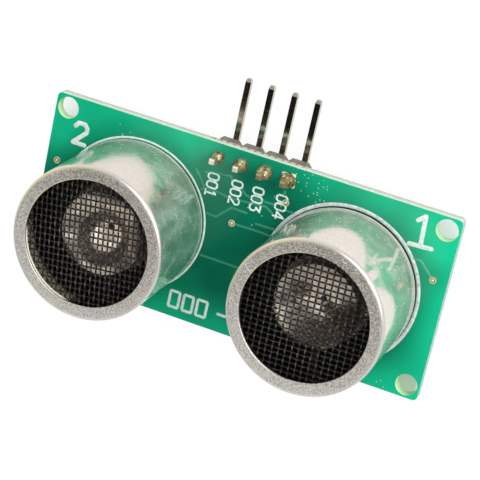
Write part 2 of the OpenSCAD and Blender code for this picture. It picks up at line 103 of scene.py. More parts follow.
def startMaterial(name, settings={}):
    material = bpy.data.materials.new(name)
    material.use_nodes = True
    tree = material.node_tree
    shader = tree.nodes["Principled BSDF"]
    setSockets(tree, shader, settings)
    return material, tree, shader, addNode(tree, "TexCoord").outputs["Object"]


def deselectAll():
    if bpy.context.object and bpy.context.object.mode == "EDIT":
        bpy.ops.object.mode_set(mode="OBJECT")
    bpy.ops.object.select_all(action="DESELECT")


def selectOnly(*objects):
    deselectAll()
    for piece in objects:
        piece.select_set(True)
    bpy.context.view_layer.objects.active = objects[0]


def applyModifier(piece, kind, settings):
    selectOnly(piece)
    modifier = piece.modifiers.new(kind.lower(), kind)
    for name, value in settings.items():
        setattr(modifier, name, value)
    bpy.ops.object.modifier_apply(modifier=modifier.name)


def applyPlace(piece):
    selectOnly(piece)
    bpy.ops.object.transform_apply(location=True, rotation=True, scale=True)


def joinPieces(pieces):
    selectOnly(*pieces)
    if len(pieces) > 1:
        bpy.ops.object.join()
    return bpy.context.object


# copies a modelled piece, with its own mesh, to each place
def copyTo(piece, places):
    copies = [piece]
    for place in places[1:]:
        selectOnly(piece)
        bpy.ops.object.duplicate(linked=False)
        bpy.context.object.location = place
        copies.append(bpy.context.object)
    piece.location = places[0]
    return joinPieces(copies)


# opens edit mode with only the vertices chosen by their place selected
def editWhere(piece, chosen):
    selectOnly(piece)
    bpy.ops.object.mode_set(mode="EDIT")
    bpy.ops.mesh.select_mode(type="VERT")
    bpy.ops.mesh.select_all(action="DESELECT")
    bpy.ops.object.mode_set(mode="OBJECT")
    for vertex in piece.data.vertices:
        vertex.select = chosen(vertex.co)
    bpy.ops.object.mode_set(mode="EDIT")


# squashes or stretches a piece along Z, about its own origin
def resizeHeight(piece, share):
    editWhere(piece, lambda place: True)
    bpy.ops.transform.resize(value=(1, 1, share))
    bpy.ops.object.mode_set(mode="OBJECT")
    return piece


# puts a finished piece's place in its mesh and hands it to the frame
def finishPiece(piece, name, material, replaced=(), smoothAngle=35):
    applyPlace(piece)
    bpy.ops.object.shade_smooth_by_angle(angle=math.radians(smoothAngle))
    piece.name = name
    piece.data.name = name
    piece.data.materials.clear()
    piece.data.materials.append(material)
    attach(piece, "root")
    if replaced:
        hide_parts(*replaced)
    return piece


print("stage: camera, floor and lights")

camera = {
    "place": (51.285 * mm, 72.016 * mm, 179.809 * mm),
    "turn": (-17.1038, 20.0797, 12.6211),
    "lens": 146.9,
    "sensor": 36,
}
bpy.ops.object.camera_add(
    location=camera["place"], rotation=[math.radians(a) for a in camera["turn"]])
bpy.context.object.data.lens = camera["lens"]
bpy.context.object.data.sensor_width = camera["sensor"]
bpy.context.object.data.clip_start = 1 * mm
bpy.context.scene.camera = bpy.context.object

floor = {
    "side": 4.0,
    "glow": 1.04,
    "shadowShare": 0.12,
    "underShare": 0.75,
    "underMiddle": (-1.15, -1.9, 0),
    "underReach": {"X": 21.8, "Y": 9.6},
    "softEdge": 0.6,
    "white": "#ffffff",
    "paintedGlowTint": "#b2c9ae",
    "paintedGlowFade": (-3, -9),
}


# white paper sweep: the camera and metal see it white, and it keeps a light shadow
def makeFloorPaper():
    material, tree, shader, place = startMaterial("matteWhitePaper", {
        "Roughness": 0.9, "Specular IOR Level": 0.1})
    # under the board and to its front left, where its shadow lies, more of the real shade is kept
    spot = addNode(tree, "VectorMath", {
        "operation": "SUBTRACT", 0: place, 1: toMetres(floor["underMiddle"])})
    spot = addNode(tree, "SeparateXYZ", {0: spot})
    inside = []
    for axis, reach in floor["underReach"].items():
        away = addNode(tree, "Math", {"operation": "ABSOLUTE", 0: spot.outputs[axis]})
        inside.append(addNode(tree, "MapRange", {
            "Value": away, "From": toMetres((reach + floor["softEdge"], reach))}))
    under = addNode(tree, "Math", {"operation": "MULTIPLY", 0: inside[0], 1: inside[1]})
    kept = addNode(tree, "MapRange", {
        "Value": under, "To": (1 - floor["shadowShare"], 1 - floor["underShare"])})
    # towards the board's front edge the paper is painted pale green, a painted glow standing for light that
    # comes through the laminate
    paintedGlow = addNode(tree, "MapRange", {
        "Value": addNode(tree, "SeparateXYZ", {0: place}).outputs["Y"],
        "From": toMetres(floor["paintedGlowFade"])})
    paintedGlow = addNode(tree, "Math", {"operation": "MULTIPLY", 0: paintedGlow, 1: under})
    tone = addNode(tree, "Mix", {
        "data_type": "RGBA", "Factor": paintedGlow, "A": floor["white"], "B": floor["paintedGlowTint"]})
    glow = addNode(tree, "Emission", {"Strength": floor["glow"], "Color": tone})
    rays = addNode(tree, "LightPath").outputs
    seen = addNode(tree, "Math", {"operation": "MAXIMUM", 0: rays["Is Camera Ray"], 1: rays["Is Glossy Ray"]})
    seen = addNode(tree, "Math", {"operation": "MAXIMUM", 0: seen, 1: rays["Is Transmission Ray"]})
    share = addNode(tree, "Math", {"operation": "MULTIPLY", 0: seen, 1: kept})
    setSockets(tree, shader, {"Base Color": tone})
    mix = addNode(tree, "MixShader", {0: share, 1: shader, 2: glow})
    setSockets(tree, tree.nodes["Material Output"], {"Surface": mix})
    return material


deselectAll()
bpy.ops.mesh.primitive_plane_add(size=floor["side"], location=(0, 0, cadBox[0].z))
floorPiece = bpy.context.object
floorPiece.name = "floor"
floorPiece.data.materials.append(makeFloorPaper())

room = {
    "fill": 0.36,
    "horizon": "#ffffff",
    "zenith": "#cfccc8",
    "climb": (0.25, 0.95),
    "flagTone": "#24221f",
    "flag": {"place": (-0.30, -0.36, 0.88), "reach": (34, 12), "gain": 1.0},
    "windows": [
        {"place": (0.62, 0.52, 0.59), "reach": (42, 16), "gain": 2.0},
        {"place": (-0.26, -0.85, 0.46), "reach": (28, 10), "gain": 0.4},
    ],
    "mirrorStrength": 1.0,
    "brighterTowards": (0.22, 0.14, 0),
}


# how far a direction lies within a soft round patch of the room, from its edge to its core, in degrees
def patchShare(tree, direction, patch):
    near = addNode(tree, "VectorMath", {
        "operation": "DOT_PRODUCT", 0: direction, 1: Vector(patch["place"]).normalized()})
    return addNode(tree, "MapRange", {
        "interpolation_type": "SMOOTHSTEP", "Value": near, "To Max": patch["gain"],
        "From": [math.cos(math.radians(angle)) for angle in patch["reach"]]})


# pale room for diffuse light; metal mirrors a pale horizon, two windows and a black flag overhead
def makeRoom():
    world = bpy.data.worlds.new("paleRoom")
    world.use_nodes = True
    bpy.context.scene.world = world
    tree = world.node_tree
    tree.nodes.clear()
    direction = addNode(tree, "TexCoord").outputs["Generated"]
    climb = addNode(tree, "MapRange", {
        "Value": addNode(tree, "SeparateXYZ", {0: direction}).outputs["Z"],
        "From": room["climb"]})
    tone = addNode(tree, "Mix", {
        "data_type": "RGBA", "Factor": climb, "A": room["horizon"], "B": room["zenith"]})
    flag = patchShare(tree, direction, room["flag"])
    tone = addNode(tree, "Mix", {"data_type": "RGBA", "Factor": flag, "A": tone, "B": room["flagTone"]})
    side = addNode(tree, "VectorMath", {"operation": "DOT_PRODUCT", 0: direction, 1: room["brighterTowards"]})
    strength = addNode(tree, "Math", {"operation": "ADD", 0: side, 1: room["mirrorStrength"]})
    for window in room["windows"]:
        strength = addNode(tree, "Math", {
            "operation": "ADD", 0: strength, 1: patchShare(tree, direction, window)})
    mirrored = addNode(tree, "Background", {"Color": tone, "Strength": strength})
    even = addNode(tree, "Background", {"Color": "#ffffff", "Strength": room["fill"]})
    # only a straight mirror image is that bright: light that metal throws on the board is the even one
    rays = addNode(tree, "LightPath").outputs
    straight = addNode(tree, "Math", {"operation": "LESS_THAN", 0: rays["Diffuse Depth"], 1: 0.5})
    share = addNode(tree, "Math", {"operation": "MULTIPLY", 0: rays["Is Glossy Ray"], 1: straight})
    mix = addNode(tree, "MixShader", {0: share, 1: even, 2: mirrored})
    addNode(tree, "OutputWorld", {"Surface": mix})


makeRoom()

lamps = [
    {"name": "overheadSoftbox", "place": (0.04, 0.06, 0.46), "size": 0.36, "watts": 0.8},
    {"name": "rightSoftbox", "place": (0.36, 0.24, 0.28), "size": 0.22, "watts": 0.6},
    {"name": "lowWindow", "place": (0.36, 0.33, 0.10), "size": 0.16, "watts": 1.6},
    {"name": "leftSoftbox", "place": (-0.34, 0.20, 0.28), "size": 0.22, "watts": 0.35},
    {"name": "frontFill", "place": (0.10, -0.40, 0.26), "size": 0.30, "watts": 0.3},
]
for lamp in lamps:
    toward = -Vector(lamp["place"])
    bpy.ops.object.light_add(type="AREA", location=lamp["place"],
                             rotation=toward.to_track_quat("-Z", "Y").to_euler())
    light = bpy.context.object
    light.name = lamp["name"]
    light.data.size = lamp["size"]
    light.data.energy = lamp["watts"]
    light.visible_glossy = False  # metal mirrors the room and not the lamps


print("stage: places from the frame")

boardLow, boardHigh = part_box("circuit_board")
frontZ = boardHigh.z
backZ = boardLow.z


def middle(node):
    low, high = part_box(node)
    return (low + high) / 2


canLow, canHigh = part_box("receiver_can")
canRadius = (canHigh.x - canLow.x) / 2
canTop = canHigh.z
transducers = {side: middle(side + "_can") for side in ("receiver", "transmitter")}
pinX = [middle(f"header_pin_{i}").x / mm for i in (1, 2, 3, 4)]
pinRowY = middle("header_solder_joints").y / mm

snoot = {
    "height": 0.1,
    "watts": {"receiver": 2.2, "transmitter": 1.7},
    "beam": 3.0,
    "blend": 0.4,
    "size": 0.0035,
}

# a narrow lamp over each can lights its cone through the screen
for side, centre in transducers.items():
    bpy.ops.object.light_add(type="SPOT", location=(centre.x, centre.y, snoot["height"]))
    light = bpy.context.object
    light.name = side + "Snoot"
    light.data.energy = snoot["watts"][side]
    light.data.spot_size = math.radians(snoot["beam"])
    light.data.spot_blend = snoot["blend"]
    light.data.shadow_soft_size = snoot["size"]
    light.visible_glossy = False
    light.visible_camera = False


print("stage: board")

maskLook = {
    "green": "#11b686",
    "paintedShadeGreen": "#046c51",
    "paintedLightGreen": "#14d29c",
    # painted shade: the green darkens round this middle, between the cans, and within the rim reach of each
    # can
    "paintedShadeMiddle": (0.8, 1.0),
    "paintedShadeReach": (5.61, 12.24),
    "rim": (8.2, 10.6),
    "canShadowDepth": 0.35,
    "cloudSize": 5,
    "cloudContrast": 0.6,
    # painted light: the green lightens towards the free end, less so near the transmitter, and in the light
    # spots
    "lighter": (15, 22),
    "paintedLightShare": 0.8,
    "paintedLightCanReach": (8.2, 11),
    "paintedLightNearCan": 0.2,
    # soft round spots: X, Y and reach in mm, and how much the colour changes in the middle
    "paintedLightSpots": [(13.6, 9.6, 3.6, 0.45), (-8.0, 9.4, 2.4, 0.25)],
    "paintedShadeSpots": [(-21.6, 1.6, 4.4, 0.75), (-4.6, -6.0, 2.6, 0.5), (20.8, 3.6, 2.6, 0.4),
                  (19.8, -6.0, 4.4, 0.3)],
    "rippleSize": 1.6,
    "rippleDepth": 0.05,
    "dust": "#c9efdf",
    "dustSpacing": 0.42,
    "dustSize": 0.13,
    "dustPatch": 3.5,
    "dustPlace": (6.5, 7.2),
    "dustReach": (1, 6),
    "dustGain": (0.35, 0),
    "dustKept": 0.6,
    "dustCover": 0.9,
    "laminateTop": "#bfdcc0",
    "laminateLow": "#aea6a4",
    "laminateHeight": (0.2, 1.0),
    "clothLayer": 0.25,
    "clothContrast": 0.8,
    "notch": "#8c7c69",
    "notchPitch": 0.75,
    "notchWave": (0.55, 0.85),
    "notchTop": 0.5,
    "notchReach": 5.4,
    "brushedEnd": "#9db5ae",
    "brushedDepth": 0.2,
    "drilled": "#c4e8b8",
    "drilledInside": 0.15,
    "roughness": (0.75, 0.18),
}


# the distance of a place from an upright line, in the plane of the board
def reachFrom(tree, place, line):
    flat = addNode(tree, "VectorMath", {"operation": "SUBTRACT", 0: place, 1: (line[0], line[1], 0)})
    flat = addNode(tree, "VectorMath", {"operation": "MULTIPLY", 0: flat, 1: (1, 1, 0)})
    return addNode(tree, "VectorMath", {"operation": "LENGTH", 0: flat})


# how much a soft round spot covers a place; its core, a share of its reach, is covered evenly
def spotShare(tree, place, spot, middle=(0, 0), core=0):
    x, y, reach, share = spot
    away = reachFrom(tree, place, (middle[0] + x * mm, middle[1] + y * mm))
    return addNode(tree, "MapRange", {
        "interpolation_type": "SMOOTHSTEP", "Value": away, "From": toMetres((reach, core * reach)),
        "To Max": share})


# how light the mask's green is, 0 to 1, with clouds: painted shade, darkest between the cans, and a painted
# shadow round each of them
def cloudsAndPaintedShade(tree, place):
    level = addNode(tree, "MapRange", {
        "interpolation_type": "SMOOTHSTEP",
        "Value": reachFrom(tree, place, toMetres(maskLook["paintedShadeMiddle"])),
        "From": toMetres(maskLook["paintedShadeReach"])})
    # a painted shadow round each can
    for centre in transducers.values():
        rim = addNode(tree, "MapRange", {
            "Value": reachFrom(tree, place, centre), "From": toMetres(maskLook["rim"]),
            "To Min": maskLook["canShadowDepth"]})
        level = addNode(tree, "Math", {"operation": "MINIMUM", 0: level, 1: rim})
    clouds = addNode(tree, "TexNoise", {
        "Vector": place, "Scale": 1 / (maskLook["cloudSize"] * mm), "Detail": 2.0, "Roughness": 0.5})
    depth = addNode(tree, "Math", {
        "operation": "MULTIPLY_ADD", 0: clouds, 1: maskLook["cloudContrast"], 2: level})
    return addNode(tree, "Math", {
        "operation": "SUBTRACT", "use_clamp": True, 0: depth, 1: maskLook["cloudContrast"] / 2})


# the mask's green: painted shade where the level is low and in dark spots, painted light towards the free end
# of the board and in light spots
def maskGreenAndPaintedLight(tree, place):
    green = addNode(tree, "Mix", {
        "data_type": "RGBA", "Factor": cloudsAndPaintedShade(tree, place), "A": maskLook["paintedShadeGreen"],
        "B": maskLook["green"]})
    lighter = addNode(tree, "MapRange", {
        "interpolation_type": "SMOOTHSTEP", "Value": addNode(tree, "SeparateXYZ", {0: place}).outputs["X"],
        "From": toMetres(maskLook["lighter"]), "To Max": maskLook["paintedLightShare"]})
    outside = addNode(tree, "MapRange", {
        "Value": reachFrom(tree, place, transducers["transmitter"]),
        "From": toMetres(maskLook["paintedLightCanReach"]), "To Min": maskLook["paintedLightNearCan"]})
    lighter = addNode(tree, "Math", {"operation": "MULTIPLY", 0: lighter, 1: outside})
    for spot in maskLook["paintedLightSpots"]:
        lighter = addNode(tree, "Math", {"operation": "MAXIMUM", 0: lighter, 1: spotShare(tree, place, spot)})
    green = addNode(tree, "Mix", {
        "data_type": "RGBA", "Factor": lighter, "A": green, "B": maskLook["paintedLightGreen"]})
    for spot in maskLook["paintedShadeSpots"]:
        green = addNode(tree, "Mix", {
            "data_type": "RGBA", "Factor": spotShare(tree, place, spot), "A": green,
            "B": maskLook["paintedShadeGreen"]})
    return green


# dust specks: small dots kept at a few of the cell centres, in patches, more of them near the pins
def dustShare(tree, place):
    cells = addNode(tree, "TexVoronoi", {
        "voronoi_dimensions": "2D", "Vector": place, "Scale": 1 / (maskLook["dustSpacing"] * mm)})
    dot = addNode(tree, "Math", {
        "operation": "LESS_THAN", 0: cells.outputs["Distance"], 1: maskLook["dustSize"]})
    patches = addNode(tree, "TexNoise", {
        "Vector": place, "Scale": 1 / (maskLook["dustPatch"] * mm), "Detail": 1.0})
    near = addNode(tree, "MapRange", {
        "Value": reachFrom(tree, place, toMetres(maskLook["dustPlace"])),
        "From": toMetres(maskLook["dustReach"]), "To": maskLook["dustGain"]})
    patches = addNode(tree, "Math", {"operation": "ADD", 0: patches, 1: near})
    few = addNode(tree, "SeparateColor", {0: cells.outputs["Color"]})
    few = addNode(tree, "Math", {"operation": "MULTIPLY", 0: few, 1: patches})
    few = addNode(tree, "Math", {"operation": "GREATER_THAN", 0: few, 1: maskLook["dustKept"]})
    dust = addNode(tree, "Math", {"operation": "MULTIPLY", 0: dot, 1: few})
    return addNode(tree, "Math", {"operation": "MULTIPLY", 0: dust, 1: maskLook["dustCover"]})


# the bare laminate of the edge: resin-rich and green at the front, greyer below
def laminateTone(tree, place, spot):
    layers = addNode(tree, "TexNoise", {
        "Vector": place, "Scale": 1 / (maskLook["clothLayer"] * mm), "Detail": 3.0})
    level = addNode(tree, "MapRange", {"Value": spot["Z"], "From": toMetres(maskLook["laminateHeight"])})
    level = addNode(tree, "Math", {
        "operation": "MULTIPLY_ADD", 0: level, 1: maskLook["clothContrast"], 2: layers})
    level = addNode(tree, "Math", {
        "operation": "SUBTRACT", "use_clamp": True, 0: level, 1: maskLook["clothContrast"] / 2})
    edge = addNode(tree, "Mix", {
        "data_type": "RGBA", "Factor": level, "A": maskLook["laminateLow"], "B": maskLook["laminateTop"]})
    # beside the header the saw left brown notches in the layers at the back; at scale 1 a wave's phase
    # grows by 20 radians a metre
    notches = addNode(tree, "TexWave", {
        "bands_direction": "X", "Vector": place, "Scale": math.pi / 10 / (maskLook["notchPitch"] * mm)})
    notches = addNode(tree, "MapRange", {"Value": notches.outputs["Fac"], "From": maskLook["notchWave"]})
    aside = addNode(tree, "Math", {"operation": "ABSOLUTE", 0: spot["X"]})
    for away, limit in ((spot["Z"], maskLook["notchTop"]), (aside, maskLook["notchReach"])):
        within = addNode(tree, "Math", {"operation": "LESS_THAN", 0: away, 1: limit * mm})
        notches = addNode(tree, "Math", {"operation": "MULTIPLY", 0: notches, 1: within})
    edge = addNode(tree, "Mix", {"data_type": "RGBA", "Factor": notches, "A": edge, "B": maskLook["notch"]})
    # the board's free end was brushed with mask
    end = addNode(tree, "Math", {
        "operation": "GREATER_THAN", 0: spot["X"], 1: boardHigh.x - maskLook["brushedDepth"] * mm})
    edge = addNode(tree, "Mix", {"data_type": "RGBA", "Factor": end, "A": edge, "B": maskLook["brushedEnd"]})
    # a drilled hole's wall is not at the board's outline and is greener
    inside = []
    for axis, reach in (("X", boardHigh.x), ("Y", boardHigh.y)):
        away = addNode(tree, "Math", {"operation": "ABSOLUTE", 0: spot[axis]})
        inside.append(addNode(tree, "Math", {
            "operation": "LESS_THAN", 0: away, 1: reach - maskLook["drilledInside"] * mm}))
    drilled = addNode(tree, "Math", {"operation": "MULTIPLY", 0: inside[0], 1: inside[1]})
    return addNode(tree, "Mix", {"data_type": "RGBA", "Factor": drilled, "A": edge, "B": maskLook["drilled"]})


# solder mask: glossy ink over glass epoxy, its green with painted light and shade; the sawn edge and the
# holes show the laminate, rough and pale
def makeSolderMask():
    material, tree, shader, place = startMaterial("glossySolderMask", {"IOR": 1.45})
    face = addNode(tree, "Mix", {
        "data_type": "RGBA", "Factor": dustShare(tree, place), "A": maskGreenAndPaintedLight(tree, place),
        "B": maskLook["dust"]})
    edge = laminateTone(tree, place, addNode(tree, "SeparateXYZ", {0: place}).outputs)
    facing = addNode(tree, "SeparateXYZ", {0: addNode(tree, "TexCoord").outputs["Normal"]})
    upright = addNode(tree, "Math", {"operation": "ABSOLUTE", 0: facing.outputs["Z"]})
    flat = addNode(tree, "Math", {"operation": "GREATER_THAN", 0: upright, 1: 0.5})
    ripple = addNode(tree, "TexNoise", {
        "Vector": place, "Scale": 1 / (maskLook["rippleSize"] * mm), "Detail": 2.0})
    setSockets(tree, shader, {
        "Base Color": addNode(tree, "Mix", {"data_type": "RGBA", "Factor": flat, "A": edge, "B": face}),
        "Roughness": addNode(tree, "MapRange", {"Value": flat, "To": maskLook["roughness"]}),
        "Normal": addNode(tree, "Bump", {
            "Height": ripple, "Strength": 0.2, "Distance": maskLook["rippleDepth"] * mm})})
    return material


# a metal whose grain, in mm, varies its roughness and dents it a little
def makePlainMetal(name, colour, roughness, grain, bumpDepth, metallic=1.0):
    material, tree, shader, place = startMaterial(name, {"Base Color": colour, "Metallic": metallic})
    noise = addNode(tree, "TexNoise", {"Vector": place, "Scale": 1 / (grain * mm), "Detail": 4.0})
    setSockets(tree, shader, {
        "Roughness": addNode(tree, "MapRange", {
            "Value": noise, "To": (roughness * 0.7, min(1, roughness * 1.3))}),
        "Normal": addNode(tree, "Bump", {"Height": noise, "Strength": 0.4, "Distance": bumpDepth * mm})})
    return material


# a non-metal whose grain, in mm, varies its shade between two colours
def makePlainCoat(name, colours, roughness, grain, bumpDepth):
    material, tree, shader, place = startMaterial(name, {"Roughness": roughness})
    noise = addNode(tree, "TexNoise", {"Vector": place, "Scale": 1 / (grain * mm), "Detail": 3.0})
    setSockets(tree, shader, {
        "Base Color": addNode(tree, "Mix", {
            "data_type": "RGBA", "Factor": noise, "A": colours[0], "B": colours[1]}),
        "Normal": addNode(tree, "Bump", {"Height": noise, "Strength": 0.5, "Distance": bumpDepth * mm})})
    return material


def dressNodes(material, *names):
    for name in names:
        nodes[name].data.materials.clear()
        nodes[name].data.materials.append(material)


dressNodes(makeSolderMask(), "circuit_board")


print("stage: copper, print and vias")

pen = {"endSteps": (84, 55, 28), "ringSteps": 120, "layers": 4, "layerRise": 0.004}


# a straight stroke's centre points in mm, each with its share of the width, so that the ends are round
def roundEnded(start, end, width):
    along = (Vector(end) - Vector(start)).normalized() * width / 2
    points = []
    for angle in pen["endSteps"]:
        back = along * math.sin(math.radians(angle))
        points.append((start[0] - back.x, start[1] - back.y, math.cos(math.radians(angle))))
    points += [(start[0], start[1], 1), (end[0], end[1], 1)]
    for angle in reversed(pen["endSteps"]):
        ahead = along * math.sin(math.radians(angle))
        points.append((end[0] + ahead.x, end[1] + ahead.y, math.cos(math.radians(angle))))
    return points


def ringRoute(x, y, radius):
    turns = [2 * math.pi * i / pen["ringSteps"] for i in range(pen["ringSteps"])]
    return [(x + radius * math.cos(t), y + radius * math.sin(t), 1) for t in turns]


# low rounded strips lying on a face: polylines give one round-ended stroke for each straight run
def drawStrips(polylines, rings, width, rise, faceZ):
    deselectAll()
    bpy.ops.curve.primitive_nurbs_path_add(location=(0, 0, 0))
    strips = bpy.context.object
    strips.data.splines.clear()
    routes = [(roundEnded(a, b, width), False) for line in polylines for a, b in zip(line, line[1:])]
    routes += [(ringRoute(*ring), True) for ring in rings]
    for number, (points, closed) in enumerate(routes):
        spline = strips.data.splines.new("POLY")
        spline.points.add(len(points) - 1)
        # strokes that cross don't share a surface
        layer = number % pen["layers"] * pen["layerRise"]
        for target, (x, y, share) in zip(spline.points, points):
            target.co = (x * mm, y * mm, layer * mm, 1)
            target.radius = share
        spline.use_cyclic_u = closed
    strips.data.bevel_depth = width / 2 * mm
    strips.data.bevel_resolution = 1
    strips.data.use_fill_caps = True
    bpy.ops.object.convert(target="MESH")
    strips.scale.z = 2 * rise / width
    strips.location.z = faceZ
    applyPlace(strips)
    return strips


# plain figures as pen strokes in a cell 0.6 wide and 1 high
figures = {
    "0": [[(0, 0.18), (0, 0.82), (0.16, 1), (0.44, 1), (0.6, 0.82), (0.6, 0.18), (0.44, 0), (0.16, 0),
           (0, 0.18)]],
    "1": [[(0.08, 0.78), (0.3, 1), (0.3, 0)], [(0.06, 0), (0.54, 0)]],
    "2": [[(0, 0.82), (0.14, 1), (0.46, 1), (0.6, 0.84), (0.6, 0.62), (0, 0), (0.6, 0)]],
    "3": [[(0, 1), (0.6, 1), (0.26, 0.6), (0.44, 0.6), (0.6, 0.44), (0.6, 0.16), (0.44, 0), (0.14, 0),
           (0, 0.14)]],
    "4": [[(0.46, 0), (0.46, 1), (0, 0.3), (0.62, 0.3)]],
    "box": [[(0.05, 0), (0.55, 0), (0.6, 0.06), (0.6, 0.94), (0.55, 1), (0.05, 1), (0, 0.94), (0, 0.06),
             (0.05, 0)]],
}


# strokes of a row of figures: it starts at a corner in mm and runs along the turn, in degrees
def writeFigures(text, corner, height, advance, turn, flip=1):
    across = Vector((math.cos(math.radians(turn)), math.sin(math.radians(turn))))
    up = Vector((-across.y, across.x)) * flip
    strokes = []
    for place, figure in enumerate(text):
        for line in figures[figure]:
            strokes.append([tuple(Vector(corner) + across * (u * height + place * advance) + up * v * height)
                            for u, v in line])
    return strokes


printMarks = {
    "rise": 0.035,
    "pinLabelX": (-4.36, -1.75, 0.57, 3.13),
    "pinLabelY": 6.62,
    "pinLabelHeight": 1.12,
    "pinLabelAdvance": 0.9,
    "pinLabelWidth": 0.2,
    # the transmitter's side is marked 1 and the receiver's side 2
    "sideMarkWidth": 0.46,
    "sideOne": [[(18.45, 6.1), (18.28, 9.2)], [(17.3, 6.0), (19.6, 6.15)], [(18.28, 9.2), (17.6, 8.6)]],
    "sideTwoCorner": (-19.5, 5.1),
    "sideTwoHeight": 2.2,
    "boxRowCorner": (-5.7, -8.85),
    "boxRowHeight": 1.75,
    "boxRowAdvance": 1.55,
    "boxRowBar": [(-0.25, -7.95), (0.6, -7.95)],
    "boxRowWidth": 0.3,
    "ringRadius": {"receiver": 8.12, "transmitter": 8.25},
    "ringWidth": {"receiver": 0.22, "transmitter": 0.36},
    "outlineWidth": 0.15,
    "outlineGap": 0.3,
    "leadRoom": 1.1,
    "backFigureHeight": 0.9,
    "backFigureAside": 0.35,
    "backFigureY": 6.1,
    "wornGrain": 0.35,
    "worn": (0.35, 0.6),
}
maskedCopper = {
    "width": 0.24,
    "backWidth": 0.3,
    "rise": 0.03,
    "cloudSize": 1.2,
    "darker": "#2c8d6c",
    "lighter": "#9be3c8",
    "routes": [
        [(-5.75, 6.46), (-4.51, 4.9), (-4.8, 4.58)],
        [(-4.8, 4.58), (-3.11, 4.85), (-1.86, 4.63), (0.43, 4.79), (2.24, 4.94), (3.0, 4.48)],
        [(-0.6, 5.93), (-0.11, 5.47), (0.62, 5.38), (2.96, 5.42)],
        [(4.48, 5.21), (5.31, 5.21)],
        [(-3.69, 2.28), (-2.66, 2.24), (-1.23, 3.7), (0.39, 3.64)],
        [(1.59, 2.84), (3.9, 2.89)],
        [(-0.89, 2.09), (1.55, 2.15), (3.54, 2.11)],
        [(-3.4, -2.3), (0.65, -2.3)],
        [(-4.68, 6.51), (-3.53, 6.76), (-2.01, 6.9), (-1.81, 6.55)],
        [(3.8, 7.14), (3.85, 6.68)],
        [(20.52, 3.07), (18.9, 4.64), (18.17, 4.66)],
    ],
    "backRoutes": [
        [(-3.75, 7.4), (-3.75, 6.2), (-6.2, 6.2), (-7.6, 4.8)],
        [(-1.2, 7.4), (-1.2, 6.4), (-2.9, 4.7)],
        [(1.33, 7.4), (1.33, 5.9), (4.0, 5.9), (4.0, 4.2)],
        [(3.87, 7.4), (3.87, 6.7), (6.4, 6.7), (7.6, 5.5)],
        [(-8.6, -1.2), (-10.4, -1.2), (-11.67, -2.4), (-11.67, -4.2)],
        [(-8.6, 0.4), (-10.6, 0.4), (-11.67, 1.5), (-11.67, 3.4)],
        [(8.6, -1.2), (10.2, -1.2), (11.43, -2.4), (11.43, -4.2)],
        [(8.6, 0.4), (10.4, 0.4), (11.43, 1.5), (11.43, 3.4)],
        [(-11.67, 5.8), (-13.6, 7.6), (-17.2, 7.6)],
        [(11.43, 5.8), (13.4, 7.6), (17.0, 7.6)],
        [(-11.67, -6.6), (-9.6, -8.5), (-5.2, -8.5)],
        [(11.43, -6.6), (9.4, -8.5), (4.8, -8.5)],
        [(-4.2, -8.0), (4.0, -8.0)],
        [(-20.1, -2.6), (-20.1, 2.6)],
    ],
}
throughVias = [(-20.85, 2.62), (-0.89, 2.09), (20.52, 3.07), (4.15, 6.0)]
vias = {
    "front": throughVias,
    "back": throughVias + [(-7.9, 7.3), (7.9, 7.3), (0.4, -8.6)],
    "radius": 0.29,
    "rimRadius": 0.08,
    "rimFlatness": 0.5,
    "drop": {"radius": 0.261, "segments": 20, "flatness": 0.15},
    "bead": {"radius": 0.16, "segments": 16, "flatness": 0.5},
}


# white print: epoxy ink screened on the mask, matte, a little thin and green at its edges
def makePrintInk(name, colours):
    material, tree, shader, place = startMaterial(name, {"Roughness": 0.55, "IOR": 1.5})
    worn = addNode(tree, "TexNoise", {
        "Vector": place, "Scale": 1 / (printMarks["wornGrain"] * mm), "Detail": 3.0})
    shade = addNode(tree, "MapRange", {"Value": worn, "From": printMarks["worn"]})
    setSockets(tree, shader, {"Base Color": addNode(tree, "Mix", {
        "data_type": "RGBA", "Factor": shade, "A": colours[0], "B": colours[1]})})
    return material


# copper under the mask: the ink lies thinner on it, so the green is lighter and yellower; clouds and the
# mask's painted shade make it darker in places
def makeMaskedCopper():
    material, tree, shader, place = startMaterial("maskOverCopper", {"Roughness": 0.2, "IOR": 1.45})
    cloud = addNode(tree, "TexNoise", {
        "Vector": place, "Scale": 1 / (maskedCopper["cloudSize"] * mm), "Detail": 2.0})
    depth = addNode(tree, "Math", {"operation": "MULTIPLY", 0: cloud, 1: cloudsAndPaintedShade(tree, place)})
    setSockets(tree, shader, {"Base Color": addNode(tree, "Mix", {
        "data_type": "RGBA", "Factor": depth, "A": maskedCopper["darker"], "B": maskedCopper["lighter"]})})
    return material


def drawFrontPrint(ink, ringInks):
    marks, rise = printMarks, printMarks["rise"]
    labels = []
    for number, x in enumerate(marks["pinLabelX"]):
        labels += writeFigures("00" + str(number + 1), (x, marks["pinLabelY"]), marks["pinLabelHeight"],
                               marks["pinLabelAdvance"], -90)
    sides = marks["sideOne"] + writeFigures("2", marks["sideTwoCorner"], marks["sideTwoHeight"], 0, 0)
    boxes = writeFigures(["box"] * 3, marks["boxRowCorner"], marks["boxRowHeight"], marks["boxRowAdvance"], 0)
    strokes = [drawStrips(labels, [], marks["pinLabelWidth"], rise, frontZ),
               drawStrips(sides, [], marks["sideMarkWidth"], rise, frontZ),
               drawStrips(boxes + [marks["boxRowBar"]], [], marks["boxRowWidth"], rise, frontZ)]
    for side, place in transducers.items():
        ring = (place.x / mm, place.y / mm, marks["ringRadius"][side])
        ring = drawStrips([], [ring], marks["ringWidth"][side], rise, frontZ)
        finishPiece(ring, side + "_outline", ringInks[side])
    finishPiece(joinPieces(strokes), "front_print", ink)


